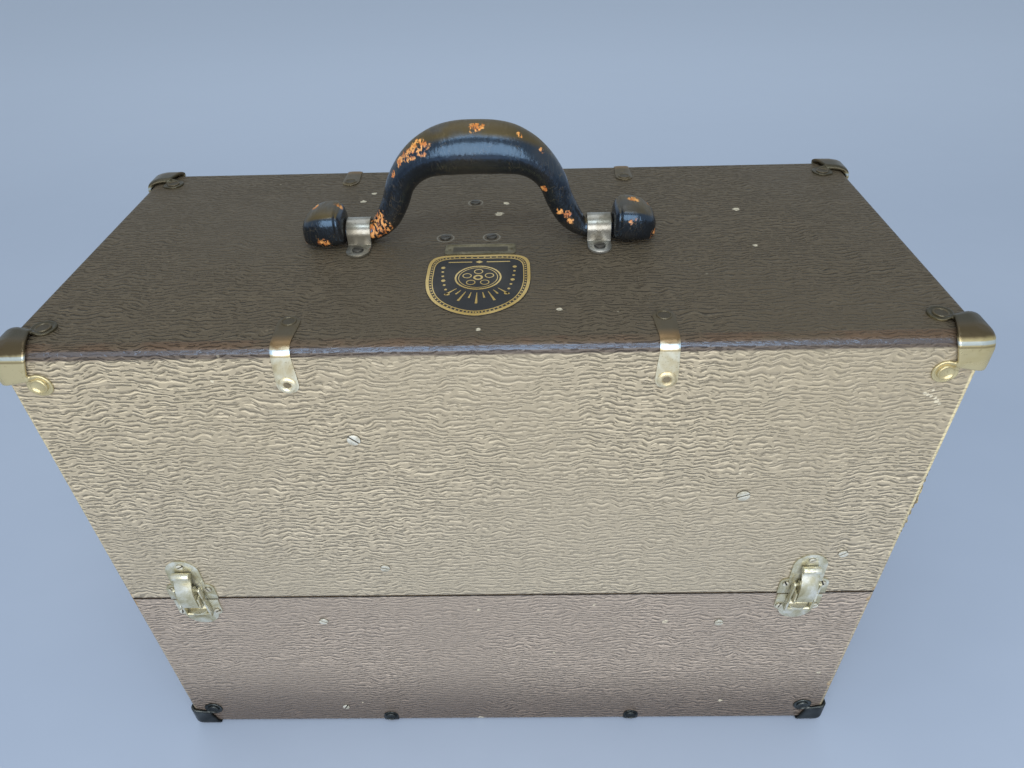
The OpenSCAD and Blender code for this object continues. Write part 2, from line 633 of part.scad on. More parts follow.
// the rings stand upright in the loops and the rounded ends
function lean(x) = max(0, min(1, (loop_x - loop_w/2 - abs(x))/6));
function heading(i) = let (a = all_rings[max(0, i - 1)], b = all_rings[min(nr - 1, i + 1)])
    lean(all_rings[i][0])*atan2(b[1] - a[1], b[0] - a[0]);
function ring(i) = let (p = all_rings[i], h = heading(i)) [for (k = [0:ns - 1]) let (a = 360*k/ns, n = p[2]*sin(a), y = p[3]*cos(a))
    [handle_x + p[0] - n*sin(h), y, z_top + p[1] + n*cos(h)]];
module handle() color(black) polyhedron(
    points = [for (i = [0:nr - 1]) each ring(i)],
    faces = concat([[for (k = [0:ns - 1]) k]], [[for (k = [ns - 1:-1:0]) (nr - 1)*ns + k]],
        [for (i = [0:nr - 2], k = [0:ns - 1]) [i*ns + k, (i + 1)*ns + k, (i + 1)*ns + (k + 1)%ns]],
        [for (i = [0:nr - 2], k = [0:ns - 1]) [i*ns + k, (i + 1)*ns + (k + 1)%ns, i*ns + (k + 1)%ns]]));

module strap_loop() difference() {
    union() {
        translate([-loop_w/2, 0, 0]) rotate([90, 0, 90]) linear_extrude(loop_w) difference() {
            union() {
                translate([0, foot_z]) circle(r = foot_r + foot_gap + loop_t);
                translate([-foot_r - foot_gap - loop_t, 0]) square([2*(foot_r + foot_gap + loop_t), foot_z]);
            }
            translate([0, foot_z]) circle(r = foot_r + foot_gap);
            translate([-foot_r - foot_gap, -1]) square([2*(foot_r + foot_gap), foot_z + 1]);
        }
        for (s = [-1, 1]) {
            translate([0, s*loop_screw_y, 0]) cylinder(r = loop_w/2, h = loop_t);
            translate([-loop_w/2, s > 0 ? foot_r + foot_gap : -loop_screw_y, 0]) cube([loop_w, loop_screw_y - foot_r - foot_gap, loop_t]);
        }
    }
    block([-loop_w, -foot_r - foot_gap, -1], [loop_w, foot_r + foot_gap, foot_z]);
    for (s = [-1, 1]) translate([0, s*loop_screw_y, -1]) cylinder(r = 0.45*3.4, h = 5);
}
module handle_loops() color(nickel) for (s = [-1, 1]) translate([handle_x + s*loop_x, 0, z_top]) strap_loop();
module label_plate() color([0.12, 0.11, 0.09]) translate([label_x, label_y, z_top]) linear_extrude(label_t) round_rect(label_w, label_l, 20);
module narrow_plate() color([0.62, 0.50, 0.28]) translate([label_x, plate_y, z_top]) linear_extrude(label_t) round_rect(plate_l, plate_w, 1.5);

// stored arms: a bar with an eye at each end, laid along a line on the front wall of the cover
arm_y = -in_y + batten_t + 1;
arm_eye = 10;
arm_la = norm(arm_a[1] - arm_a[0]);
arm_lb = norm(arm_b[1] - arm_b[0]);
module along(p) let (a = p[0], b = p[1], l = norm(b - a), g = atan2(b[1] - a[1], b[0] - a[0]))
    translate([a[0], arm_y, a[1]]) rotate([0, -g, 0]) children();
module arm(l) {
    difference() {
        union() {
            translate([0, 6, 0]) rotate([90, 0, 0]) linear_extrude(6) {
                translate([0, -6]) square([l, 12]);
                circle(r = arm_eye);
                translate([l, 0]) circle(r = arm_eye);
            }
            translate([l, 18, 0]) rotate([90, 0, 0]) cylinder(r = 3.9, h = 13);
        }
        translate([0, 7, 0]) rotate([90, 0, 0]) cylinder(r = 4.2, h = 8);
    }
}
module reel_arms() color(bronze) {
    along(arm_a) arm(arm_la);
    along(arm_b) arm(arm_lb);
}
// clips are U-shaped springs, open towards the room of the case
module arm_clip() rotate([90, 0, 90]) translate([0, 0, -5]) linear_extrude(10) {
    translate([0, 0]) polygon([[-1, -7.3], [0, -7.3], [0, 7.3], [-1, 7.3]]);
    for (s = [-1, 1]) translate([0, s*6.8]) polygon([[-1, -0.5], [8, -0.5], [8, 0.5], [-1, 0.5]]);
}
clip_at = [[arm_a, 20], [arm_a, arm_la - 26], [arm_b, 18], [arm_b, arm_lb - 45]];
module arm_clips() color(steel) for (c = clip_at) along(c[0]) translate([c[1], 0, 0]) arm_clip();
module cover_battens() color(wood) difference() {
    union() {
        along(arm_a) translate([-4, -1 - batten_t, -11]) cube([arm_la + 8, batten_t, 22]);
        along(arm_b) translate([2, -1 - batten_t, -13]) cube([clip_at[2][1] + 11, batten_t, 26]);
        along(arm_b) translate([clip_at[3][1] - 13, -1 - batten_t, -13]) cube([26, batten_t, 26]);
    }
    screw_bores(cover_screw_at);
}

// base casting, open below, on rubber pads
lug_x = [base_x0 - lug_out, base_x1 + lug_out];
spare = in_x + rack_x0 - (lug_x[1] - lug_x[0] + 2*lug_r);
proj_x = left_share*spare - in_x - (lug_x[0] - lug_r);
module projector() translate([proj_x, 0, 0]) children();
module hold_screws_at() for (x = lug_x) translate([x, 0, 0]) children();
pad_at = [for (x = [base_x0 + 16, base_x1 - 16], y = [base_y0 + 16, base_y1 - 16]) [x, y]];
switch_xs = [38, 62];
knob_x = 100;
ctrl_z = base_z + base_h/2;
module base_casting() color(bronze) difference() {
    union() {
        translate([(base_x0 + base_x1)/2, (base_y0 + base_y1)/2, base_z]) linear_extrude(base_h) round_rect(base_x1 - base_x0, base_y1 - base_y0, 12);
        hold_screws_at() translate([0, 0, base_z]) cylinder(r = lug_r, h = 8);
        block([lug_x[0], -lug_r, base_z], [base_x0 + 1, lug_r, base_z + 8]);
        block([base_x1 - 1, -lug_r, base_z], [lug_x[1], lug_r, base_z + 8]);
        for (x = switch_xs) translate([x, base_y0 + 0.5, ctrl_z]) rotate([90, 0, 0]) cylinder(r = 6, h = 4);
    }
    difference() {
        translate([(base_x0 + base_x1)/2, (base_y0 + base_y1)/2, base_z - 1]) linear_extrude(base_h + 1 - base_t) round_rect(base_x1 - base_x0 - 2*base_t, base_y1 - base_y0 - 2*base_t, 12 - base_t);
        for (p = pad_at) translate([p[0], p[1], base_z - 2]) cylinder(r = 13, h = base_h + 4);
        block([-80, base_y0, base_z - 2], [-74, base_y1, deck_z]);
        block([24, base_y0, base_z - 2], [30, base_y1, deck_z]);
    }
    for (p = pad_at) translate([p[0], p[1], base_z - 1]) cylinder(r = 4, h = 12);
    hold_screws_at() translate([0, 0, base_z - 1]) cylinder(r = hold_r, h = 12);
    for (x = switch_xs) translate([x, base_y0 + base_t + 1, ctrl_z]) rotate([90, 0, 0]) cylinder(r = 3.5, h = base_t + 8);
    translate([knob_x, base_y0 + base_t + 1, ctrl_z]) rotate([90, 0, 0]) cylinder(r = 3 + run_gap, h = base_t + 4);
}
module base_pads() color(black) {
    for (p = pad_at) {
        translate([p[0], p[1], floor_z]) cylinder(r = 11, h = pad_h);
        translate([p[0], p[1], base_z - 0.1]) cylinder(r = 4, h = 11);
    }
    hold_screws_at() translate([0, 0, floor_z]) difference() {
        cylinder(r = 9, h = pad_h);
        translate([0, 0, -1]) cylinder(r = hold_r, h = pad_h + 2);
    }
}
module hold_down_screws() color(steel) hold_screws_at() {
    translate([0, 0, floor_z - 8]) cylinder(r = hold_r, h = pad_h + 8 + 8 + 1);
    translate([0, 0, base_z + 8]) cylinder(r = 6, h = 3);
    translate([0, 0, base_z + 11]) difference() {
        cylinder(r = 10, h = 8);
        for (k = [0:15]) rotate([0, 0, k*22.5]) translate([10.3, 0, -1]) cylinder(r = 1, h = 12);
    }
}

// main frame: upright plate, mechanism box behind it, shutter drum at its left
box_x0 = -40;
box_x1 = 24;
box_y0 = plate_y0 + main_t;
box_y1 = box_y0 + box_d;
box_z0 = deck_z + 74;
box_z1 = axis_z + sprocket_dz + head_share*(roof_z - axis_z - sprocket_dz);
drum_x0 = -61;
drum_x1 = -43;
drum_r = shutter_r + 2;
mesh_x = -(worm_r + gear_gap + wheel_r);
mesh_y = shaft_y + 8 + gear_gap + 12;
up_z = axis_z + sprocket_dz;
dn_z = axis_z - sprocket_dz;
shoe_x = mesh_x + 25.6;
shoe_dz = 4.5;
module along_x(y, z, x0, l, r) translate([x0, y, z]) rotate([0, 90, 0]) cylinder(r = r, h = l);
module along_y(x, z, y0, l, r) translate([x, y0 + l, z]) rotate([90, 0, 0]) cylinder(r = r, h = l);
module main_frame() color(bronze) difference() {
    union() {
        block([-42, plate_y0, deck_z], [34, box_y0, box_z1]);
        block([-62, plate_y0, deck_z + 80], [-41, box_y0, box_z1]);
        block([-42, plate_y0 - 8, deck_z], [34, box_y0 + 4, deck_z + 5]);
        difference() {
            block([box_x0, box_y0 - 1, box_z0], [box_x1, box_y1, box_z1]);
            block([box_x0 + box_t, box_y0, box_z0 + box_t], [box_x1 - box_t, box_y1 + 1, box_z1 - box_t]);
        }
        along_x(shaft_y, axis_z, drum_x0 - 2, drum_x1 - drum_x0 + 3, drum_r + 3);
        for (x = [-30, 14]) translate([x, plate_y0 + main_t/2, box_z1 - 1]) cylinder(r = 3.9, h = 11);
        for (s = [-1, 1]) along_y(shoe_x, axis_z + s*(sprocket_dz - shoe_dz), plate_y0 - 31, 32, 3);
        for (s = [-1, 1]) block([-24, plate_y0 - 6, axis_z + s*24 - 3], [30, plate_y0 + 1, axis_z + s*24 + 3]);
    }
    along_x(shaft_y, axis_z, drum_x0, drum_x1 - drum_x0, drum_r);
    along_x(beam_y, axis_z, drum_x0 - 5, 30, 12);
    along_x(shaft_y, axis_z, drum_x1 - 1, box_x1 - drum_x1 + 3, shaft_r + run_gap);
    along_y(mesh_x, up_z, plate_y0 - 1, main_t + 2, shaft_r + run_gap);
    along_y(mesh_x, dn_z, plate_y0 - 1, main_t + 2, shaft_r + run_gap);
    translate([0, mesh_y, box_z0 - 1]) cylinder(r = 3 + run_gap, h = box_t + 2);
    translate([0, mesh_y, box_z1 - box_t - 1]) cylinder(r = 3 + run_gap, h = box_t + 2);
}
module mechanism_cover() color(bronze) {
    translate([(box_x0 + box_x1)/2, box_y1, (box_z0 + box_z1)/2]) rotate([-90, 0, 0]) linear_extrude(3) round_rect(box_x1 - box_x0, box_z1 - box_z0, 4);
    for (x = [box_x0 + 6, box_x1 - 6], z = [box_z0 + 6, box_z1 - 6]) along_y(x, z, box_y1 + 2.9, 1.6, 3);
}

motor_zc = deck_z + motor_z;
module motor_housing() color(black) difference() {
    union() {
        along_x(motor_y, motor_zc, -40, 100, motor_r);
        block([-24, motor_y - 20, deck_z], [44, motor_y + 20, deck_z + 12]);
    }
    along_x(motor_y, motor_zc, -36, 92, motor_r - 7);
    along_x(motor_y, motor_zc, -41, 102, 3.5 + run_gap);
}
fan_r = 32;
duct_x0 = lamp_x - lamp_r;
duct_z1 = deck_z + 64;
module blower_housing() color(black) difference() {
    union() {
        block([duct_x0, beam_y - lamp_r, deck_z], [-78, 50, duct_z1]);
        along_x(motor_y, motor_zc, -79, 35, fan_r + 5.8);
    }
    block([duct_x0 + 2, beam_y - lamp_r + 2, deck_z + 2], [-80, 48, duct_z1 - 2]);
    along_x(motor_y, motor_zc, -81, 35, fan_r + 3.8);
    translate([lamp_x, beam_y, duct_z1 - 5]) cylinder(r = 20, h = 10);
    along_x(motor_y, motor_zc, -47, 5, 16);
}
module motor_rotor() color(steel) {
    along_x(motor_y, motor_zc, -72, 164, 3.5);
    along_x(motor_y, motor_zc, -24, 62, motor_r - 9);
    along_x(motor_y, motor_zc, -70, 3, fan_r);
    for (k = [0:11]) translate([-68, motor_y, motor_zc]) rotate([k*30, 0, 0]) translate([0, -1, 16]) cube([18, 2, 14]);
    difference() {
        along_x(motor_y, motor_zc, 80, 8, pulley_s + 3);
        translate([81.7, motor_y, motor_zc]) rotate([0, 90, 0]) difference() {
            cylinder(r = pulley_s + 5, h = 4.6);
            translate([0, 0, -1]) cylinder(r = pulley_s, h = 7);
        }
    }
}
module shutter_rotor() color(steel) {
    along_x(shaft_y, axis_z, -57, 158, shaft_r);
    along_x(shaft_y, axis_z, -57, 12, 9);
    difference() {
        along_x(shaft_y, axis_z, -53.5, 1.5, shutter_r);
        for (k = [0, 180]) translate([-55, shaft_y, axis_z]) rotate([k, 0, 0]) difference() {
            rotate([0, 90, 0]) translate([0, 0, 0]) linear_extrude(5) intersection() {
                difference() { circle(r = shutter_r - 4); circle(r = 20); }
                polygon([[0, 0], [80, 40], [80, -40]]);
            }
        }
    }
    along_x(shaft_y, axis_z, -6, 12, 8);
    difference() {
        along_x(shaft_y, axis_z, 80, 8, pulley_b + 3);
        translate([81.7, shaft_y, axis_z]) rotate([0, 90, 0]) difference() {
            cylinder(r = pulley_b + 5, h = 4.6);
            translate([0, 0, -1]) cylinder(r = pulley_b, h = 7);
        }
    }
    difference() {
        along_x(shaft_y, axis_z, 92, 12, 13);
        for (k = [0:17]) translate([91, shaft_y, axis_z]) rotate([k*20, 0, 0]) translate([0, 0, 13.4]) rotate([0, 90, 0]) cylinder(r = 1.2, h = 14);
    }
}
module upright_shaft() color(steel) translate([0, mesh_y, 0]) {
    translate([0, 0, box_z0 + 0.5]) cylinder(r = 3, h = box_z1 - box_z0 - 1);
    translate([0, 0, axis_z - 5]) cylinder(r = 12, h = 10);
    for (z = [up_z, dn_z]) translate([0, 0, z - 9]) difference() {
        cylinder(r = worm_r, h = 18);
        for (k = [0:4]) translate([0, 0, 1.5 + 3.4*k]) difference() {
            cylinder(r = worm_r + 1, h = 1.4);
            translate([0, 0, -1]) cylinder(r = worm_r - 1.2, h = 4);
        }
    }
}
module sprocket(z) {
    y0 = beam_y - 8;
    along_y(mesh_x, z, y0 - 4, mesh_y + 8 - y0, shaft_r);
    along_y(mesh_x, z, y0 + 1, 14, sprocket_r - 2.5);
    along_y(mesh_x, z, y0, 3, sprocket_r);
    along_y(mesh_x, z, y0 + 13, 3, sprocket_r);
    for (k = [0:11]) translate([mesh_x, y0 + 1.6, z]) rotate([0, k*30, 0]) translate([-0.6, -0.5, sprocket_r - 0.5]) cube([1.2, 1, 1.6]);
    difference() {
        along_y(mesh_x, z, mesh_y - 4, 8, wheel_r);
        for (k = [0:23]) translate([mesh_x, mesh_y - 5, z]) rotate([0, k*15, 0]) translate([-0.7, 0, wheel_r - 1.4]) cube([1.4, 10, 3]);
    }
}
module upper_sprocket() color(steel) sprocket(up_z);
module lower_sprocket() color(steel) sprocket(dn_z);
module shoe(s) {
    cx = mesh_x;
    cz = axis_z + s*sprocket_dz;
    pz = axis_z + s*(sprocket_dz - shoe_dz);
    difference() {
        union() {
            translate([cx, beam_y + 6, cz]) rotate([90, 0, 0]) linear_extrude(12) intersection() {
                difference() { circle(r = sprocket_r + 5.5); circle(r = sprocket_r + 2.1); }
                polygon([[0, 0], [40, -s*2], [40, s*40], [14.6, s*40]]);
            }
            along_y(shoe_x, pz, beam_y - 6, 12, 6);
            translate([0, beam_y + 6, 0]) rotate([90, 0, 0]) linear_extrude(12)
                polygon([[cx + sprocket_r + 2.6, cz], [cx + sprocket_r + 2.6, cz + s*5], [shoe_x, pz + s*5.9], [shoe_x + 3, pz], [shoe_x, pz - s*2]]);
        }
        along_y(shoe_x, pz, beam_y - 7, 14, 3 + run_gap);
        along_y(cx, cz, beam_y - 9, 18, sprocket_r + 2.1);
    }
}
module upper_shoe() color(nickel) shoe(1);
module lower_shoe() color(nickel) shoe(-1);

// film gate with the light tunnel, aperture and claw slot
gate_x = -30;
claw_z = axis_z - 30;
module film_gate() color(steel) difference() {
    union() {
        block([gate_x, beam_y - 14, axis_z - 42], [gate_x + 3, plate_y0, axis_z + 42]);
        along_x(beam_y, axis_z, drum_x1 + 1, gate_x - drum_x1, 12);
        block([gate_x - 8.6, plate_y0 - 9, claw_z - 10], [gate_x - 6.3, plate_y0, claw_z + 12]);
    }
    along_x(beam_y, axis_z, drum_x1 - 1, gate_x - drum_x1, 10);
    block([gate_x - 2, beam_y - 4.8, axis_z - 3.6], [gate_x + 5, beam_y + 4.8, axis_z + 3.6]);
    block([gate_x - 2, beam_y + 8, claw_z - 3], [gate_x + 5, beam_y + 11.6, claw_z + 12]);
}
module claw() color(steel) {
    block([gate_x - 6, beam_y + 8, claw_z - 8], [gate_x - 0.3, plate_y0 - 0.3, claw_z + 4]);
    block([gate_x - 1, beam_y + 9, claw_z - 1], [gate_x + 1.5, beam_y + 10.6, claw_z + 1]);
}
ring_x0 = -20;
module lens_carriage() color(nickel) difference() {
    union() {
        along_x(beam_y, axis_z, ring_x0, 34, barrel_r + 5);
        block([ring_x0, beam_y, axis_z - 20.5], [ring_x0 + 34, plate_y0 - 0.3, axis_z + 20.5]);
        block([gate_x + 3.8, beam_y - 9, axis_z - 20], [gate_x + 6, beam_y + 9, axis_z + 20]);
        for (s = [-1, 1]) block([gate_x + 5, beam_y - 4, axis_z + s*17 - 1.5], [ring_x0 + 6, beam_y + 4, axis_z + s*17 + 1.5]);
        block([ring_x0 + 20, beam_y - barrel_r - 14, axis_z - 4], [ring_x0 + 28, beam_y - barrel_r - 3, axis_z + 4]);
    }
    along_x(beam_y, axis_z, ring_x0 + 2, 40, barrel_r + run_gap);
    along_x(beam_y, axis_z, ring_x0 - 8, 12, 13);
    block([gate_x - 2, beam_y - 4.8, axis_z - 3.6], [gate_x + 8, beam_y + 4.8, axis_z + 3.6]);
    block([gate_x, plate_y0 - 0.3, axis_z - 40], [ring_x0 + 60, box_y0, axis_z + 40]);
}
barrel_x0 = ring_x0 + 2.4;
module lens_barrel() color([0.72, 0.58, 0.30]) difference() {
    union() {
        along_x(beam_y, axis_z, barrel_x0, barrel_l, barrel_r);
        along_x(beam_y, axis_z, barrel_x0 + barrel_l - 16, 12, barrel_r + 3);
    }
    along_x(beam_y, axis_z, barrel_x0 - 1, 8, barrel_r - 6);
    along_x(beam_y, axis_z, barrel_x0 + 7, barrel_l, barrel_r - 2.5);
    for (k = [0:23]) translate([barrel_x0 + barrel_l - 17, beam_y, axis_z]) rotate([k*15, 0, 0]) translate([0, 0, barrel_r + 3.4]) rotate([0, 90, 0]) cylinder(r = 0.9, h = 14);
}
// plano-convex glass, its bulge towards the film
module lens(x, r, t) {
    s = (r*r + t*t/4)/t;
    n = 8;
    translate([x, beam_y, axis_z]) rotate([0, 90, 0]) rotate_extrude() polygon(concat([[0, t + 2], [r, t + 2]],
        [for (k = [n:-1:0]) let (a = asin(r/s)*k/n) [k == 0 ? 0 : s*sin(a), s - s*cos(a)]]));
}
module lens_glass() color([0.75, 0.85, 0.88]) {
    lens(barrel_x0 + barrel_l - 12, barrel_r - 2.5, 5);
    lens(barrel_x0 + 8, barrel_r - 2.5, 5);
}
module condenser() color([0.75, 0.85, 0.88]) lens(-78, 14, 6);

lamp_z1 = roof_z - roof_room - lamp_cap_h;
module lamphouse() color(black) difference() {
    union() {
        translate([lamp_x, beam_y, duct_z1]) cylinder(r = lamp_r, h = lamp_z1 - duct_z1);
        along_x(beam_y, axis_z, lamp_x, drum_x0 - 2 - lamp_x, 16);
    }
    translate([lamp_x, beam_y, duct_z1 + 2]) cylinder(r = lamp_r - lamp_t, h = lamp_z1);
    translate([lamp_x, beam_y, duct_z1 - 1]) difference() {
        cylinder(r = 20, h = 5);
        translate([0, 0, -1]) cylinder(r = 14, h = 8);
        translate([-24, -3, -1]) cube([48, 6, 8]);
    }
    along_x(beam_y, axis_z, lamp_x + 10, 80, 12);
    along_x(beam_y, axis_z, lamp_x + 10, 49.9, 14);
    for (k = [0:8]) translate([lamp_x, beam_y, lamp_z1 - 46]) rotate([0, 0, 60 + k*30]) translate([lamp_r - 4, -2, 0]) cube([8, 4, 30]);
}
module lamp_socket() color(steel) translate([lamp_x, beam_y, duct_z1 + 2]) {
    cylinder(r = 13.5, h = 5);
    cylinder(r = 11, h = 22);
}
module lamp_bulb() color([0.85, 0.88, 0.88]) translate([lamp_x, beam_y, duct_z1 + 24]) {
    bulb_z = lamp_z1 - bulb_room - bulb_r - duct_z1 - 24;
    cylinder(r = bulb_r - 5, h = 8);
    translate([0, 0, 7]) cylinder(r = bulb_r, h = bulb_z - 7);
    translate([0, 0, bulb_z]) sphere(r = bulb_r);
}
module lamphouse_cap() color(black) translate([lamp_x, beam_y, lamp_z1]) difference() {
    union() {
        translate([0, 0, -7]) cylinder(r = lamp_r + 2.3, h = lamp_cap_h + 3);
        translate([0, 0, lamp_cap_h - 4]) cylinder(r = lamp_r - 6, h = 4);
    }
    translate([0, 0, -8]) cylinder(r = lamp_r + 0.3, h = 8.3);
    translate([0, 0, -1]) cylinder(r = lamp_r - 2, h = lamp_cap_h - 6);
    for (k = [0:11]) rotate([0, 0, k*30]) translate([lamp_r - 5, -2.5, 2]) cube([12, 5, 5]);
}

// belt around the two pulleys
belt_dy = shaft_y - motor_y;
belt_dz = axis_z - motor_zc;
belt_len = sqrt(belt_dy*belt_dy + belt_dz*belt_dz);
belt_g = atan2(belt_dz, belt_dy);
belt_n = 20;
module belt_shape(k) {
    r1 = pulley_s + k;
    r2 = pulley_b + k;
    b = acos((r1 - r2)/belt_len);
    polygon(concat(
        [for (i = [0:belt_n]) let (a = belt_g + b + i*(360 - 2*b)/belt_n) [r1*cos(a), r1*sin(a)]],
        [for (i = [0:belt_n]) let (a = belt_g - b + i*2*b/belt_n) [belt_dy + r2*cos(a), belt_dz + r2*sin(a)]]));
}
module drive_belt() color([0.35, 0.22, 0.14]) translate([82, motor_y, motor_zc]) rotate([90, 0, 90]) linear_extrude(4) difference() {
    belt_shape(belt_t + 0.3);
    belt_shape(0.3);
}

module power_inlet() color(black) {
    translate([knob_x, base_y1, ctrl_z]) rotate([-90, 0, 0]) linear_extrude(4) round_rect(34, 18, 4);
    for (s = [-1, 1]) along_y(knob_x + s*9.5, ctrl_z, base_y1 + 3, 13, 2.4);
}
// toggles point down when off
module toggle(x) translate([x, base_y0 - 2, ctrl_z]) {
    sphere(r = 3.1);
    translate([-3.25, 0, 0]) rotate([0, 90, 0]) cylinder(r = 0.9, h = 6.5);
    rotate([90 + 14, 0, 0]) {
        cylinder(r = 1.7, h = 13);
        translate([0, 0, 14]) sphere(r = 2.6);
    }
}
module motor_switch() color(steel) toggle(switch_xs[0]);
module lamp_switch() color(steel) toggle(switch_xs[1]);
module speed_knob() color(black) {
    along_y(knob_x, ctrl_z, base_y0 - 4, base_t + 7, 3);
    difference() {
        along_y(knob_x, ctrl_z, base_y0 - 15, 13.5, 11.5);
        for (k = [0:11]) translate([knob_x, base_y0 - 16, ctrl_z]) rotate([0, k*30, 0]) translate([0, 0, 12]) rotate([-90, 0, 0]) cylinder(r = 1.6, h = 10);
        translate([knob_x - 0.6, base_y0 - 16, ctrl_z + 2]) cube([1.2, 2, 8]);
    }
}

// stored reel: two flanges and a hub
hub_r = 26;
module reel_flange(x) translate([x, 0, reel_z]) rotate([0, 90, 0]) difference() {
    cylinder(r = reel_r, h = flange_t, $fn = 96);
    for (k = [0:4]) rotate([0, 0, k*72]) translate([56, 0, -1]) cylinder(r = 18, h = 4);
    translate([0, 0, -1]) cylinder(r = 4.2, h = 4);
}
module stored_reel() color(steel) {
    reel_flange(reel_x - reel_w/2);
    reel_flange(reel_x + reel_w/2 - flange_t);
    difference() {
        along_x(0, reel_z, reel_x - reel_w/2 + flange_t + glue_gap, reel_w - 2*flange_t - 2*glue_gap, hub_r);
        along_x(0, reel_z, reel_x - reel_w, 2*reel_w, 4.2);
    }
}

tray_boards();
tray_covering();
tray_corners();
tray_edge_clips();
tray_rivets();
keeper_plates();
tray_screws();
tray_cleats();
projector() base_casting();
projector() base_pads();
projector() hold_down_screws();
projector() main_frame();
projector() mechanism_cover();
projector() motor_housing();
projector() blower_housing();
projector() lamphouse();
projector() lamp_socket();
projector() lamp_bulb();
projector() condenser();
projector() film_gate();
projector() drive_belt();
projector() power_inlet();
cover_boards();
cover_covering();
cover_corners();
cover_edge_clips();
cover_rivets();
latch_plates();
cover_screws();
handle_loops();
label_plate();
narrow_plate();
cover_battens();
arm_clips();
reel_arms();
handle();
lever_fl();
lever_fr();
lever_bl();
lever_br();
link_fl();
link_fr();
link_bl();
link_br();
projector() motor_rotor();
projector() shutter_rotor();
projector() upright_shaft();
projector() upper_sprocket();
projector() lower_sprocket();
projector() claw();
projector() lens_carriage();
projector() lens_barrel();
projector() lens_glass();
projector() upper_shoe();
projector() lower_shoe();
projector() lamphouse_cap();
projector() motor_switch();
projector() lamp_switch();
projector() speed_knob();
stored_reel();
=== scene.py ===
"""A portable film projector shut in its leatherette carrying case, dressed over its solid model.

Lengths are written in millimetres and turned into metres by each piece's seat.
"""
import json
import math

import bpy
from mathutils import Matrix, Vector, noise


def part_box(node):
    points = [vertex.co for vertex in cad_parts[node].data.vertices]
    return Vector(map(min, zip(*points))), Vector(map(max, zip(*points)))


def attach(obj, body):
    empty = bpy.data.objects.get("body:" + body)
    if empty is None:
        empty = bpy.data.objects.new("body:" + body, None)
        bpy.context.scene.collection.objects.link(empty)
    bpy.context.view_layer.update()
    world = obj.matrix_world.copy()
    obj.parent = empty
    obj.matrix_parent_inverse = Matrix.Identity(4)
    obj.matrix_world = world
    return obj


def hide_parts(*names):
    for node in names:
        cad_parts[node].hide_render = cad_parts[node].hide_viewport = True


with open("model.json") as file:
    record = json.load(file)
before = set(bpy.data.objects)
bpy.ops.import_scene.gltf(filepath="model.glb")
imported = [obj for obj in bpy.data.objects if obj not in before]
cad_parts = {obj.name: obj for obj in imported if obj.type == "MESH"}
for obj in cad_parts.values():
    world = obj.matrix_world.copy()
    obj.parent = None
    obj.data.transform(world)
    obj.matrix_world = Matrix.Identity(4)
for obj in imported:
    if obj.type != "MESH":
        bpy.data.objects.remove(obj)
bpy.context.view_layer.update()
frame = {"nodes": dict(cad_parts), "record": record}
nodes = frame["nodes"]

MM = 0.001

# sizes in millimetres: the case and its covering
skin_low, skin_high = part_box("cover_covering")
HALF_W = skin_high.x / MM
HALF_D = skin_high.y / MM
TOP = skin_high.z / MM
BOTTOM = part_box("tray_covering")[0].z / MM
SEAM_UP = skin_low.z / MM
SEAM_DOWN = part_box("tray_covering")[1].z / MM
SEAM = (SEAM_UP + SEAM_DOWN) / 2
SKIN = 0.8
EDGE_R = 5.5
LOW_R = 3.0
POST_R = 3.0
# corner caps: their reach up the case and along it, how far they stand proud, and where their ears sit
CAP = 16.0
CAP_IN = 13.0
PROUD = 2.0
EAR_AT = 19.5
EAR_IN = 16.0
EAR_R = 6.5
# latches and edge clips
LATCH_X = (-193.0, 188.0)
CLIP_X = (-97.5, 86.5)
LOW_CLIP_X = (-87.0, 93.5)
CLIP_W = 11.0
CLIP_L = 21.5
CLIP_LOW = 7.0
# handle, label and narrow plate
HANDLE_X = -7.0
LOOP_X = 68.5
LOOP_W = 13.5
LABEL_X = -6.0
LABEL_Y = -51.0
PLATE_Y = -12.8


def turn(degrees, axis):
    return Matrix.Rotation(math.radians(degrees), 4, axis)


def face(side, u, v):
    """Where a fitting sits on a side of the case: its own z points out of the case"""
    spot, tilt = {
        "T": ((u, v, TOP), Matrix.Identity(4)),
        "D": ((u, v, BOTTOM), turn(180, "X")),
        "F": ((u, -HALF_D, v), turn(90, "X")),
        "B": ((u, HALF_D, v), turn(180, "Z") @ turn(90, "X")),
        "L": ((-HALF_W, u, v), turn(-90, "Z") @ turn(90, "X")),
        "R": ((HALF_W, u, v), turn(90, "Z") @ turn(90, "X")),
    }[side]
    return Matrix.Translation(Vector(spot)) @ tilt


def only(*pieces):
    if bpy.context.object and bpy.context.object.mode != "OBJECT":
        bpy.ops.object.mode_set(mode="OBJECT")
    bpy.ops.object.select_all(action="DESELECT")
    for piece in pieces:
        piece.select_set(True)
    if pieces:
        bpy.context.view_layer.objects.active = pieces[0]


def edit(piece, mode="VERT"):
    only(piece)
    bpy.ops.object.mode_set(mode="EDIT")
    bpy.ops.mesh.select_mode(type=mode)


def done():
    bpy.ops.object.mode_set(mode="OBJECT")


def modified(piece, kind, **settings):
    only(piece)
    step = piece.modifiers.new(kind.title(), kind)
    for key, value in settings.items():
        setattr(step, key, value)
    bpy.ops.object.modifier_apply(modifier=step.name)
    return piece


def closed(piece):
    """Merges the points that meet and turns all faces outwards"""
    edit(piece)
    bpy.ops.mesh.select_all(action="SELECT")
    bpy.ops.mesh.remove_doubles(threshold=0.001)
    bpy.ops.mesh.normals_make_consistent(inside=False)
    done()
    return piece


def without_faces(piece, unwanted):
    """Deletes the faces that unwanted(face) picks"""
    edit(piece, "FACE")
    bpy.ops.mesh.select_all(action="DESELECT")
    done()
    for side in piece.data.polygons:
        side.select = unwanted(side)
    edit(piece, "FACE")
    bpy.ops.mesh.delete(type="FACE")
    done()


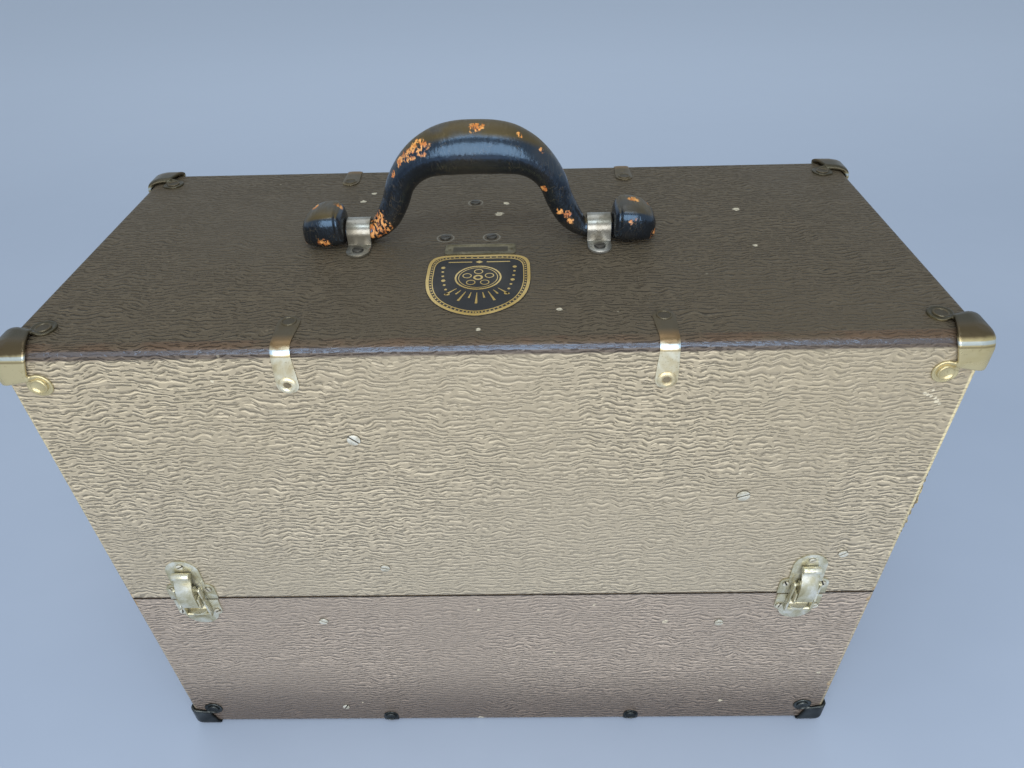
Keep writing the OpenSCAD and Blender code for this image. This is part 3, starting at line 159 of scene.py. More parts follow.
def seated(piece, seat, scale=MM):
    """Carries a piece from its own millimetres to its place, in metres"""
    matrix = Matrix.Scale(scale, 4) @ seat
    piece.data.transform(matrix)
    if matrix.determinant() < 0:
        piece.data.flip_normals()
    piece.data.update()
    return piece


def copied(piece, name):
    twin = piece.copy()
    twin.data = piece.data.copy()
    twin.name = name
    bpy.context.scene.collection.objects.link(twin)
    return twin


def joined(name, pieces):
    only(*pieces)
    if len(pieces) > 1:
        bpy.ops.object.join()
    piece = bpy.context.object
    piece.name = name
    return piece


def smooth(piece, angle):
    only(piece)
    bpy.ops.object.shade_smooth_by_angle(angle=math.radians(angle))
    return piece


def wrapped(name, nu, nv, place):
    """A fine grid laid onto the form that place(u, v) gives"""
    only()
    bpy.ops.mesh.primitive_grid_add(x_subdivisions=nu, y_subdivisions=nv, size=2)
    piece = bpy.context.object
    piece.name = name
    for point in piece.data.vertices:
        point.co = place((point.co.x + 1) / 2, (point.co.y + 1) / 2)
    return closed(piece)


def turned(name, profile, steps):
    """A form turned about its own z, from a profile of (radius, height)"""
    last = len(profile) - 1

    def place(u, v):
        r, z = profile[int(round(v * last))]
        a = 2 * math.pi * u
        return Vector((r * math.cos(a), r * math.sin(a), z))

    return wrapped(name, steps, last, place)


def pressed(name, outline, low, high, bevel=0.0, dish=None):
    """A plate of one outline. dish is a rim width and a depth, for a stamped middle"""
    only()
    bpy.ops.mesh.primitive_circle_add(vertices=len(outline), radius=1, fill_type="NGON")
    piece = bpy.context.object
    piece.name = name
    for point, (x, y) in zip(piece.data.vertices, outline):
        point.co = (x, y, low)
    edit(piece, "FACE")
    bpy.ops.mesh.select_all(action="SELECT")
    bpy.ops.mesh.extrude_region_move(TRANSFORM_OT_translate={"value": (0, 0, high - low)})
    if dish:
        bpy.ops.mesh.inset(thickness=dish[0], depth=0)
        bpy.ops.mesh.inset(thickness=abs(dish[1]) * 1.2, depth=dish[1])
    bpy.ops.mesh.select_all(action="SELECT")
    bpy.ops.mesh.normals_make_consistent(inside=False)
    done()
    if bevel:
        modified(piece, "BEVEL", width=bevel, segments=2, limit_method="ANGLE",
                 angle_limit=math.radians(30), use_clamp_overlap=True)
    return piece


def melted(piece, voxel, rounds):
    """Runs joined forms into one stamped skin"""
    modified(piece, "REMESH", mode="VOXEL", voxel_size=voxel)
    return modified(piece, "SMOOTH", factor=0.5, iterations=rounds)


def arc(cx, cy, r, a0, a1, n):
    return [(cx + r * math.cos(math.radians(a0 + (a1 - a0) * i / n)),
             cy + r * math.sin(math.radians(a0 + (a1 - a0) * i / n))) for i in range(n + 1)]


def eased(outline, rounds):
    """Cuts the corners of a closed outline"""
    for _ in range(rounds):
        outline = [q for a, b in zip(outline, outline[1:] + outline[:1])
                   for q in ((0.75 * a[0] + 0.25 * b[0], 0.75 * a[1] + 0.25 * b[1]),
                             (0.25 * a[0] + 0.75 * b[0], 0.25 * a[1] + 0.75 * b[1]))]
    return outline


def finished(piece, body, finish, slot, *replaced):
    """Puts a piece on its body. Without a finish it keeps the ones that it has"""
    if finish:
        piece.data.materials.clear()
        piece.data.materials.append(finish)
    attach(piece, body)
    if replaced:
        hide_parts(*replaced)
    return piece


class Finish:
    """One material and the nodes that give it its look"""

    def __init__(self, name, **shader):
        self.material = bpy.data.materials.new(name)
        self.material.use_nodes = True
        self.tree = self.material.node_tree
        self.shader = self.tree.nodes["Principled BSDF"]
        self.place = self.node("ShaderNodeTexCoord").outputs["Object"]
        self.wear(**shader)

    def feed(self, socket, value):
        if isinstance(value, bpy.types.NodeSocket):
            self.tree.links.new(value, socket)
        elif isinstance(value, (tuple, list)) and len(value) == 3 and socket.type == "RGBA":
            socket.default_value = (*value, 1)
        else:
            socket.default_value = value

    def node(self, kind, settings=None, **sockets):
        made = self.tree.nodes.new(kind)
        for key, value in (settings or {}).items():
            setattr(made, key, value)
        for key, value in sockets.items():
            self.feed(made.inputs[key.replace("_", " ")], value)
        return made

    def wear(self, **sockets):
        for key, value in sockets.items():
            self.feed(self.shader.inputs[key.replace("_", " ")], value)
        return self.material

    def math(self, operation, a, b=0.0):
        made = self.node("ShaderNodeMath", {"operation": operation})
        self.feed(made.inputs[0], a)
        self.feed(made.inputs[1], b)
        return made.outputs[0]

    def times(self, a, b):
        return self.math("MULTIPLY", a, b)

    def plus(self, a, b):
        return self.math("ADD", a, b)

    def less(self, a, b):
        return self.math("SUBTRACT", a, b)

    def size_of(self, a):
        return self.math("ABSOLUTE", a)

    def any_of(self, *masks):
        total = masks[0]
        for mask in masks[1:]:
            total = self.math("MAXIMUM", total, mask)
        return total

    def vector(self, operation, a, b):
        made = self.node("ShaderNodeVectorMath", {"operation": operation})
        self.feed(made.inputs[0], a)
        self.feed(made.inputs["Scale" if operation == "SCALE" else 1], b)
        return made.outputs["Value" if operation == "DISTANCE" else "Vector"]

    def axes(self, vector):
        return self.node("ShaderNodeSeparateXYZ", Vector=vector).outputs

    def away_from(self, spot):
        """The distance to a spot in millimetres"""
        return self.vector("DISTANCE", self.place, tuple(c * MM for c in spot))

    def noise(self, scale, at=None, detail=3.0, rough=0.5, warp=0.0):
        made = self.node("ShaderNodeTexNoise", Vector=at or self.place, Scale=scale, Detail=detail,
                         Roughness=rough, Distortion=warp)
        return made.outputs["Fac"]

    def cells(self, scale, feature="F1", **sockets):
        made = self.node("ShaderNodeTexVoronoi", {"feature": feature}, Vector=self.place, Scale=scale, **sockets)
        return made.outputs["Distance"]

    def between(self, value, low, high, to_low=0.0, to_high=1.0):
        """A smooth step from one number at low to another at high"""
        made = self.node("ShaderNodeMapRange", {"interpolation_type": "SMOOTHSTEP"}, Value=value, From_Min=low,
                         From_Max=high, To_Min=to_low, To_Max=to_high)
        return made.outputs[0]

    def until(self, value, low, high):
        """1 up to low, 0 from high"""
        return self.between(value, low, high, 1.0, 0.0)

    def band(self, value, low, rise, fall, high):
        """0 up to low, 1 from rise to fall, 0 from high"""
        return self.times(self.between(value, low, rise), self.until(value, fall, high))

    def mix(self, share, a, b):
        made = self.node("ShaderNodeMix", {"data_type": "RGBA"})
        for socket, value in ((0, share), (6, a), (7, b)):
            self.feed(made.inputs[socket], value)
        return made.outputs[2]

    def shaded(self, share, colour, factor):
        """A colour made lighter or darker by a factor, by a share"""
        return self.mix(share, colour, self.vector("SCALE", colour, factor))

    def ramp(self, value, *stops):
        made = self.node("ShaderNodeValToRGB", Fac=value)
        line = made.color_ramp.elements
        while len(line) < len(stops):
            line.new(1.0)
        for element, (at, colour) in zip(line, stops):
            element.position = at
            element.color = (*colour, 1)
        return made.outputs[0]

    def relief(self, height, depth, strength):
        return self.node("ShaderNodeBump", Height=height, Strength=strength, Distance=depth).outputs[0]

    def near(self, spot, reach, ragged, scale=220.0):
        """1 close to a spot in millimetres, 0 beyond its reach, with a ragged border"""
        away = self.away_from(spot)
        away = self.plus(away, self.times(self.less(self.noise(scale), 0.5), ragged * MM))
        return self.until(away, 0.7 * reach * MM, reach * MM)


def below_top(drop):
    return (TOP - drop) * MM


def behind_front(step):
    return (step - HALF_D) * MM


def leatherette(name, depth, front_light, bare_spots, scuffs, rings=()):
    """Dark brown pressed cloth: a smooth ground with short wavy creases along the case, drawn as lines of painted shade
    over lips of painted highlight, the front painted lighter from one tone to another as painted light, rubbed along
    the front edge of the top, with dust, scuffs and bare wood at the posts"""
    brown, top_brown, dry_edge = (0.085, 0.064, 0.048), (0.084, 0.065, 0.041), (0.105, 0.066, 0.040)
    raw_edge, chalk, pressed_ring = (0.66, 0.56, 0.33), (0.62, 0.55, 0.40), (0.21, 0.19, 0.15)
    shadow, cold_gleam = (0.010, 0.008, 0.006), (0.40, 0.66, 1.0)
    f = Finish(name)
    x, y, z = f.axes(f.place)
    at_end = f.math("GREATER_THAN", f.size_of(x), (HALF_W - 1) * MM)
    along = f.plus(x, f.times(y, at_end))
    up = f.plus(z, f.times(y, f.less(1.0, at_end)))

    def laid(wide, high, shift):
        """The covering laid flat, along the case and up it, drawn out by two factors"""
        return f.node("ShaderNodeCombineXYZ", X=f.times(along, wide), Y=f.times(up, high), Z=shift).outputs[0]

    drift = f.noise(60, laid(0.5, 0.6, 0.0), detail=1.5)
    sway = f.noise(250, laid(0.42, 0.25, 0.1), detail=1.0)

    def creases(per_metre, tilt, wave, breaks, low, high):
        """Lines of painted shade, the valleys that they lie in and lips of painted highlight below them"""
        count = f.plus(f.times(up, per_metre), f.plus(f.times(drift, tilt), f.times(sway, wave)))
        phase = f.less(f.math("FRACT", count), 0.5)
        gap = f.size_of(phase)
        there = f.between(breaks, low, high)
        lip = f.band(phase, -0.42, -0.30, -0.22, -0.12)
        return [f.times(mask, there) for mask in (f.until(gap, 0.02, 0.11), f.until(gap, 0.0, 0.34), lip)]

    long = creases(320, 4.2, 2.0, f.noise(360, laid(0.62, 0.85, 0.2), detail=0.0), 0.42, 0.52)
    short = creases(460, 6.5, 2.8, f.noise(400, laid(0.66, 0.9, 0.5), detail=0.0), 0.46, 0.56)
    line, valley, lip = [f.any_of(a, f.times(b, share)) for a, b, share in zip(long, short, (0.85, 0.7, 0.7))]

    front = f.times(f.until(y, behind_front(0.8), behind_front(2.0)), f.until(z, below_top(6.4), below_top(4.9)))
    top = f.between(z, below_top(1.6), below_top(0.5))
    bend = f.band(z, below_top(3.9), below_top(3.1), below_top(1.8), below_top(1.2))
    bend = f.times(bend, f.until(y, behind_front(7.0), behind_front(8.5)))
    patches = f.noise(8, detail=2.0)
    pressed_in = f.times(f.between(patches, 0.36, 0.60, 0.55, 1.0), f.less(1.0, f.times(bend, 0.6)))
    fine = f.noise(1500, detail=2.0)
    bumps = f.relief(f.less(f.times(fine, 0.10), f.times(valley, pressed_in)), 0.0008 * depth, 1.0)

    # the front is painted lighter than the rest, from one tone at the lower height to another at the upper: painted
    # light from the front
    low, high, tone_low, tone_high = front_light
    painted_front_light = f.mix(f.between(z, low * MM, high * MM), tone_low, tone_high)
    body = f.mix(front, f.mix(top, brown, top_brown), painted_front_light)
    body = f.shaded(f.between(patches, 0.35, 0.70, 0.0, 0.20), body, 1.6)
    dust = f.between(f.noise(55, detail=6.0, rough=0.7), 0.56, 0.82, 0.0, 0.35)
    body = f.shaded(dust, body, 1.7)
    rubbed = f.times(f.between(z, below_top(1.8), below_top(1.3)), f.until(y, behind_front(6.0), behind_front(8.0)))
    rubbed = f.times(rubbed, f.between(f.noise(45, detail=4.0), 0.40, 0.56, 0.3, 0.85))
    body = f.mix(rubbed, body, dry_edge)
    # painted shade in the crease lines and a painted highlight on the lips below them
    body = f.shaded(f.times(line, f.times(pressed_in, 0.95)), body, 0.22)
    body = f.shaded(f.times(lip, f.times(pressed_in, 0.9)), body, 1.75)

    post = f.plus(f.between(x, (HALF_W - 3.4) * MM, (HALF_W - 2.4) * MM),
                  f.between(x, (2.0 - HALF_W) * MM, (3.2 - HALF_W) * MM, 0.5, 0.0))
    post = f.times(post, f.times(f.until(y, behind_front(1.8), behind_front(3.5)), f.between(z, 0.16, 0.27, 0.35, 1.0)))
    post = f.times(post, f.between(f.noise(70, detail=5.0, rough=0.7), 0.34, 0.52, 0.25, 1.0))
    body = f.mix(post, body, raw_edge)
    specks = f.until(f.cells(85), 0.03, 0.09)
    specks = f.times(specks, f.between(f.noise(31, detail=1.0), 0.62, 0.66, 0.0, 0.6))
    marks = [f.near(spot, reach, reach * 1.6, 600) for spot, reach in scuffs]
    body = f.mix(f.times(f.any_of(specks, *marks), 0.8), body, chalk)
    for spot, reach in rings:
        rim = f.band(f.away_from(spot), (reach - 0.8) * MM, (reach - 0.4) * MM, reach * MM, (reach + 0.4) * MM)
        body = f.mix(f.times(rim, 0.8), body, pressed_ring)
    seam = f.between(f.size_of(f.less(z, SEAM * MM)), 0.0007, 0.0015, 0.95, 0.0)
    body = f.mix(seam, body, shadow)

    dull = f.plus(f.between(patches, 0.3, 0.7, 0.42, 0.52), f.times(dust, 0.25))
    dull = f.less(dull, f.times(bend, 0.20))
    bare = f.any_of(*[f.near(spot, reach, reach * 0.9) for spot, reach in bare_spots])
    body = f.mix(bare, body, f.ramp(f.noise(160), (0.35, (0.28, 0.18, 0.09)), (0.65, (0.52, 0.44, 0.30))))
    dull = f.any_of(dull, f.times(bare, 0.8))
    shine = f.plus(f.times(f.less(1.0, top), 0.25), f.plus(f.times(bend, 0.6), 0.15))
    return f.wear(Base_Color=body, Roughness=dull, Normal=bumps, Specular_IOR_Level=shine,
                  Specular_Tint=f.mix(bend, (1.0, 1.0, 1.0), cold_gleam))


def tarnished(name, dark, middle, pale, shine, share, scale, shade_on_top=None, metal=1.0, amber=0.0):
    """Worn plating: pale metal left on the high parts, brown and olive tarnish elsewhere. The tone for the case's top
    is painted shade, and the bend below carries a painted highlight in a cold tone over a line of painted shade; amber
    is how far the bend is browned"""
    cold_gleam, browned = (0.50, 0.68, 0.82), (0.30, 0.16, 0.05)
    f = Finish(name, Metallic=metal)
    clouds = f.noise(scale, detail=5.0, rough=0.62, warp=0.4)
    tone = f.ramp(clouds, (share - 0.22, dark), (share, middle), (share + 0.16, pale))
    pits = f.noise(scale * 14, detail=3.0)
    tone = f.mix(f.between(pits, 0.6, 0.75, 0.0, 0.6), tone, dark)
    if shade_on_top:
        across, height = f.axes(f.place)[1:]
        # a painted highlight in a cold tone on the bend, with a line of painted shade under it
        gleam = f.band(height, below_top(3.6), below_top(3.0), below_top(1.7), below_top(1.2))
        tone = f.mix(f.times(gleam, 0.35 + amber), tone, cold_gleam)
        line = f.band(height, below_top(5.2), below_top(4.7), below_top(4.2), below_top(3.7))
        tone = f.mix(f.times(line, 0.7), tone, dark)
        # the darker tone on the case's top is painted shade
        high = f.plus(height, f.times(f.less(clouds, 0.5), 0.006))
        at_bend = f.between(f.size_of(across), (HALF_D - 11) * MM, (HALF_D - 5) * MM, 0.0, amber)
        tone = f.mix(f.between(high, below_top(2.0), below_top(-0.3), 0.0, 0.95), tone, f.mix(at_bend, shade_on_top, browned))
    rough = f.between(clouds, share - 0.2, share + 0.2, shine[1], shine[0])
    grain = f.plus(f.times(clouds, 0.6), f.times(pits, 0.25))
    return f.wear(Base_Color=tone, Roughness=rough, Normal=f.relief(grain, 0.00025, 0.6))


# chafed spots of the handle, from its middle on the case's top: x, y, z and reach
CHAFED = [(1, -6, 66, 3.0), (4, -5, 67, 2.0), (-8, -6, 62.5, 2.0), (-16, -6, 61, 2.2), (-22, -7, 59, 2.6),
          (-27, -7, 57, 4.2), (-31, -7, 60, 3.2), (-34, -7, 53, 3.4), (-38, -6, 55, 3.0), (-41, -6, 50, 2.6),
          (-45, -6, 43, 1.8), (24, -6, 62, 1.7), (36, -6, 54, 1.6), (-56, -5, 17, 3.8), (-59.5, -6, 9, 4.6),
          (-53, -6, 12, 4.0), (-58, 2, 13, 4.0), (37, -6, 33, 2.0), (50, -6, 18, 2.2), (46, -7, 19.5, 2.0),
          (52, -6, 13.5, 2.0), (47, 2, 41, 1.6), (-102, 3, 14, 3.2), (-81, 3, 19, 3.0), (-102, -7, 4, 3.4),
          (-88, -12, 4, 3.8), (-93, 3, 21, 2.2), (-90, -9, 17, 1.8), (98, 8, 17, 3.4), (102, 2, 12, 3.0),
          (101, -8, 5, 3.4), (88, 2, 22, 2.8), (86, -10, 15, 2.8), (82, 10, 17, 2.0)]


def worn_strap():
    """Waxed black leather of the handle, finely wrinkled crosswise, dull brown over the crown and chafed to tan"""
    black, grey = (0.009, 0.009, 0.010), (0.030, 0.024, 0.016)
    crown_brown, crack = (0.052, 0.038, 0.016), (0.16, 0.12, 0.06)
    tan_dark, tan_pale = (0.50, 0.16, 0.03), (0.80, 0.37, 0.10)
    cold_gleam, warm_gleam = (0.42, 0.68, 1.0), (0.50, 0.40, 0.24)
    f = Finish("worn_strap")
    facing = f.axes(f.node("ShaderNodeNewGeometry").outputs["Normal"])[2]
    wide = f.vector("MULTIPLY", f.place, (1.0, 0.22, 0.5))
    wrinkles = f.noise(800, wide, detail=2.0)
    folds = f.noise(240, wide, detail=1.0)
    reach = f.any_of(*[f.near((HANDLE_X + x, y, TOP + z), 1.25 * size, size * 1.7, 380) for x, y, z, size in CHAFED])
    flakes = f.noise(620, f.vector("MULTIPLY", f.place, (1, 0.35, 0.6)), detail=3.0, rough=0.65)
    tan = f.times(reach, f.between(flakes, 0.44, 0.52))
    crown = f.times(f.between(facing, 0.52, 0.74), f.between(f.noise(60, detail=3.0), 0.30, 0.55, 0.55, 1.0))
    tone = f.mix(f.between(f.noise(40, detail=4.0), 0.50, 0.75, 0.0, 0.7), black, grey)
    tone = f.mix(crown, tone, crown_brown)
    line = f.between(f.size_of(f.less(f.noise(300, wide, detail=2.0), 0.5)), 0.0, 0.018, 0.25, 0.0)
    tone = f.mix(f.times(line, f.between(f.noise(50, detail=1.0), 0.5, 0.6)), tone, crack)
    tone = f.mix(tan, tone, f.mix(f.between(f.noise(320), 0.4, 0.6), tan_dark, tan_pale))
    height = f.plus(f.times(wrinkles, 0.5), f.times(folds, 0.5))
    height = f.less(height, f.times(tan, 0.25))
    dull = f.plus(f.times(tan, 0.35), f.times(crown, 0.22))
    return f.wear(Base_Color=tone, Roughness=f.plus(dull, f.between(wrinkles, 0.35, 0.7, 0.17, 0.27)),
                  Normal=f.relief(height, 0.0005, 0.6), Specular_IOR_Level=1.0,
                  Specular_Tint=f.mix(crown, cold_gleam, warm_gleam))


def plywood():
    f = Finish("plywood")
    rings = f.noise(260, f.vector("MULTIPLY", f.place, (0.12, 0.12, 1)), detail=4.0, warp=1.5)
    plies = f.node("ShaderNodeTexWave", {"wave_type": "BANDS", "bands_direction": "Z"}, Vector=f.place, Scale=120.0,
                   Distortion=2.0)
    tone = f.mix(f.between(rings, 0.3, 0.7), (0.36, 0.22, 0.11), (0.62, 0.45, 0.26))
    tone = f.mix(f.times(plies.outputs["Fac"], 0.18), tone, (0.22, 0.12, 0.06))
    return f.wear(Base_Color=tone, Roughness=0.62, Normal=f.relief(rings, 0.0002, 0.5))


def enamel(name, dark, pale, rough, crackle=0.0, metal=0.0):
    """Stoved enamel, smooth or crackled"""
    f = Finish(name, Metallic=metal)
    clouds = f.noise(30, detail=4.0)
    tone = f.mix(f.between(clouds, 0.35, 0.7), dark, pale)
    height = f.noise(700, detail=3.0)
    depth = 0.0001
    if crackle:
        height = f.between(f.cells(520, "SMOOTH_F1", Smoothness=0.5), 0.1, 0.7)
        depth = 0.0006
        tone = f.mix(f.times(height, crackle), pale, dark)
    return f.wear(Base_Color=tone, Roughness=f.between(clouds, 0.3, 0.7, rough, rough + 0.15),
                  Normal=f.relief(height, depth, 0.7))


def machined(name, tone, rough, scale=(1, 1, 0.03)):
    f = Finish(name, Metallic=1.0)
    lines = f.noise(1400, f.vector("MULTIPLY", f.place, scale), detail=2.0)
    clouds = f.noise(45, detail=4.0)
    colour = f.mix(f.between(clouds, 0.45, 0.8, 0.0, 0.5), tone, tuple(0.55 * c for c in tone))
    dull = f.plus(f.times(lines, 0.15), f.between(clouds, 0.3, 0.7, rough, rough + 0.15))
    return f.wear(Base_Color=colour, Roughness=dull, Normal=f.relief(lines, 0.00005, 0.5))


def glassy():
    f = Finish("clear_glass", Roughness=0.02, Transmission_Weight=1.0, IOR=1.5)
    streaks = f.noise(90, detail=2.0)
    tone = f.mix(f.between(streaks, 0.4, 0.8), (0.97, 0.99, 0.99), (0.86, 0.93, 0.92))
    return f.wear(Base_Color=tone, Normal=f.relief(streaks, 0.00003, 0.3))


def grained(name, dark, pale, rough, scale=600.0, depth=0.0002):
    """Rubber, phenolic and belt leather"""
    f = Finish(name)
    grain = f.noise(scale, detail=4.0)
    clouds = f.noise(35, detail=3.0)
    return f.wear(Base_Color=f.mix(f.between(clouds, 0.35, 0.7), dark, pale),
                  Roughness=f.between(grain, 0.3, 0.7, rough, rough + 0.15), Normal=f.relief(grain, depth, 0.6))


# spots on the covering, each with its reach
SCREW_RINGS = [((-27, 2, TOP), 5.0), ((0, 2, TOP), 5.0), ((-11.5, 49.6, TOP), 4.6)]
# after the depth come two heights and the front's two tones of painted light; the tray's is darker towards the bottom
LEATHERETTE_COVER = leatherette(
    "leatherette_cover", 1.0, (160, 345, (0.320, 0.275, 0.200), (0.320, 0.268, 0.182)),
    [((235, -107, 160), 3.5), ((-235, -107, 160), 3.5)],
    [((214, -107, 316.8), 1.2), ((215.8, -107, 316), 1.0), ((217.6, -107, 315), 0.8), ((220, -107, 313.6), 1.1),
     ((221.5, -107, 311.8), 1.3), ((223, -107, 310), 1.0), ((217.4, -107, 318.6), 0.8), ((133, -107, 263), 0.9),
     ((-134, -107, 331), 1.0), ((4, 33, TOP), 3.0), ((8, 48, TOP), 2.0), ((-79, 67, TOP), 1.8), ((-84, 55, TOP), 2.0),
     ((149, 33, TOP), 2.2), ((149, -14, TOP), 1.6), ((36, -77, TOP), 1.6), ((-4, -94, TOP), 1.4)], SCREW_RINGS)
LEATHERETTE_TRAY = leatherette(
    "leatherette_tray", 0.9, (10, 85, (0.112, 0.087, 0.069), (0.270, 0.222, 0.176)),
    [((-235, -107, 153), 4), ((235, -107, 150), 4), ((-236, -107, 54), 3.5), ((234, -107, 50), 4)],
    [((-14, -107, 142), 1.2), ((107, -107, 127), 2.0), ((60, -107, 146), 1.0), ((35, -107, 92), 1.0),
     ((-106, -107, 28), 0.9), ((158, -107, 27), 1.6), ((221, -107, 64), 1.5), ((-19, -106, 4), 3.0),
     ((61, -106, 3), 2.2)])
# the tone after a metal's scale is its painted shade on the case's top
CAP_METAL = tarnished("cap_metal", (0.22, 0.165, 0.075), (0.44, 0.355, 0.17), (0.54, 0.455, 0.25),
                      (0.26, 0.40), 0.36, 30, (0.034, 0.028, 0.015), metal=0.6, amber=0.12)
LOW_CAP_METAL = tarnished("low_cap_metal", (0.020, 0.022, 0.022), (0.055, 0.060, 0.058), (0.13, 0.14, 0.13),
                          (0.3, 0.45), 0.50, 50)
CLIP_METAL = tarnished("clip_metal", (0.30, 0.22, 0.10), (0.58, 0.49, 0.30), (0.74, 0.68, 0.50),
                       (0.32, 0.46), 0.42, 75, (0.070, 0.050, 0.024), metal=0.65, amber=0.45)
LATCH_METAL = tarnished("latch_metal", (0.26, 0.21, 0.09), (0.54, 0.50, 0.34), (0.76, 0.74, 0.62),
                        (0.28, 0.42), 0.46, 85, metal=0.72)
LOOP_METAL = tarnished("loop_metal", (0.085, 0.072, 0.050), (0.21, 0.19, 0.145), (0.34, 0.33, 0.29),
                       (0.24, 0.36), 0.46, 60, metal=0.7)
SCREW_METAL = tarnished("screw_metal", (0.20, 0.17, 0.11), (0.50, 0.46, 0.35), (0.74, 0.70, 0.58),
                        (0.38, 0.55), 0.42, 160, (0.035, 0.032, 0.027), metal=0.6)
HOLLOW_METAL = tarnished("hollow_metal", (0.06, 0.048, 0.03), (0.16, 0.13, 0.08), (0.26, 0.21, 0.13),
                         (0.4, 0.6), 0.45, 200, (0.055, 0.044, 0.026), metal=0.5)
# painted shade for the floor of the screw slots
SLOT_SHADE = grained("painted_slot_shade", (0.012, 0.010, 0.008), (0.03, 0.025, 0.018), 0.6)
HANDLE_LEATHER = worn_strap()
WOOD = plywood()

record = frame["record"]
body_of = {node: body for body, names in record["behaviour"]["bodies"].items() for node in names}
slot_of = {row["node"]: row["material_slot"] for row in record["subparts"]}


# covering
def case_half(name, low, high, panel_up, edge_r):
    """A box open at the seam, with round edges along the panel and others at the posts"""
    only()
    bpy.ops.mesh.primitive_cube_add(size=2, location=(0, 0, (low + high) / 2),
                                    scale=(HALF_W, HALF_D, (high - low) / 2))
    bpy.ops.object.transform_apply()
    piece = bpy.context.object
    piece.name = name
    panel = high if panel_up else low
    mesh = piece.data
    weight = mesh.attributes.new("bevel_weight_edge", "FLOAT", "EDGE")
    for edge in mesh.edges:
        a, b = (mesh.vertices[i].co for i in edge.vertices)
        if abs(a.z - b.z) > 1:
            weight.data[edge.index].value = POST_R / EDGE_R
        elif abs(a.z - panel) < 0.1:
            weight.data[edge.index].value = edge_r / EDGE_R
    modified(piece, "BEVEL", width=EDGE_R, segments=7, limit_method="WEIGHT")
    without_faces(piece, lambda side: abs(side.normal.z) > 0.9 and abs(side.center.z - panel) > 10)
    modified(piece, "SOLIDIFY", thickness=SKIN, offset=-1, use_even_offset=True)
    return smooth(seated(piece, Matrix.Identity(4)), 30)


finished(case_half("cover_leatherette", SEAM_UP, TOP, True, EDGE_R),
         "cover", LEATHERETTE_COVER, "leatherette", "cover_covering")
finished(case_half("tray_leatherette", BOTTOM, SEAM_DOWN, False, LOW_R),
         "tray", LEATHERETTE_TRAY, "leatherette", "tray_covering")


# corner caps
def rise(value, low, high):
    """A smooth step from 0 at low to 1 at high"""
    t = min(max((value - low) / (high - low), 0), 1)
    return t * t * (3 - 2 * t)


def corner_cap(edge_r, swell):
    """A stamped cap for the corner at the right, front and top, with three ears for its rivets. swell is how far its
    side, front and panel faces stand proud of a plain box"""
    notch, panel_notch, notch_w = 4.2, 3.0, 13
    outer_r = EDGE_R + PROUD
    rounded = (edge_r + PROUD) / outer_r
    post = (POST_R + PROUD) / outer_r
    only()
    bpy.ops.mesh.primitive_cube_add(size=2, location=((PROUD - CAP_IN) / 2, (CAP - PROUD) / 2, (PROUD - CAP) / 2),
                                    scale=((PROUD + CAP_IN) / 2, (PROUD + CAP) / 2, (PROUD + CAP) / 2))
    bpy.ops.object.transform_apply()
    shell = bpy.context.object
    mesh = shell.data
    weight = mesh.attributes.new("bevel_weight_edge", "FLOAT", "EDGE")
    tip = Vector((PROUD, -PROUD, PROUD))
    for edge in mesh.edges:
        a, b = (mesh.vertices[i].co for i in edge.vertices)
        if (a - tip).length < 0.1 or (b - tip).length < 0.1:
            weight.data[edge.index].value = post if abs(a.z - b.z) > 1 else rounded
    modified(shell, "BEVEL", width=outer_r, segments=8, limit_method="WEIGHT")
    without_faces(shell, lambda side: side.normal.x < -0.9 or side.normal.y > 0.9 or side.normal.z < -0.9)
    modified(shell, "SOLIDIFY", thickness=PROUD, offset=-1, use_even_offset=True)
    parts = [shell]
    for turned_to, spot in ((Matrix.Identity(4), (-EAR_IN, EAR_AT, 0)), (turn(90, "X"), (-EAR_IN, 0, -EAR_AT)),
                            (turn(90, "Z") @ turn(90, "X"), (0, EAR_AT, -EAR_AT))):
        ear = turned("ear", [(0, -0.4), (EAR_R, -0.4), (EAR_R, 0.8), (EAR_R - 0.4, 1.15), (EAR_R - 1.1, 1.15),
                             (EAR_R - 1.6, 0.85), (0, 0.85)], 40)
        parts.append(seated(ear, Matrix.Translation(Vector(spot)) @ turned_to, 1))
    cap = melted(joined("corner_cap", parts), 0.45, 5)

    def drawn_in(depth, inward, reach, beside):
        """How far the rim is cut in between two ears"""
        return depth * min(max(1 - beside / notch_w, 0), 1) * min(max(inward / reach, 0), 1)

    def swollen(height, outward, beside, flat, end):
        return height * rise(outward, -5, 0.5) * (1 - rise(beside, flat, end))

    for point in cap.data.vertices:
        x, y, z = point.co
        point.co.x -= drawn_in(notch, -x, CAP_IN, max(y, -z)) - swollen(swell[0], x, max(y, -z), 15, 20)
        point.co.y += drawn_in(notch, y, CAP, max(-x, -z)) - swollen(swell[1], -y, max(-x, -z), 13, 18)
        point.co.z -= drawn_in(panel_notch, -z, CAP, max(-x, y)) - swollen(swell[2], z, max(-x, y), 13, 18)
    return cap


def four_corners(name, level, up, edge_r, swell):
    stamp = corner_cap(edge_r, swell)
    caps = []
    for sx in (-1, 1):
        for sy in (-1, 1):
            seat = Matrix.Translation((sx * HALF_W, -sy * HALF_D, level)) @ Matrix.Diagonal((sx, sy, up, 1))
            caps.append(seated(copied(stamp, "cap"), seat))
    bpy.data.objects.remove(stamp)
    return smooth(joined(name, caps), 60)


finished(four_corners("cover_caps", TOP, 1, EDGE_R, (1.6, 0.5, 1.2)),
         "cover", CAP_METAL, "fitting_nickel", "cover_corners")
finished(four_corners("tray_caps", BOTTOM, -1, LOW_R, (0.5, 0.2, 0.0)),
         "tray", LOW_CAP_METAL, "fitting_nickel", "tray_corners")


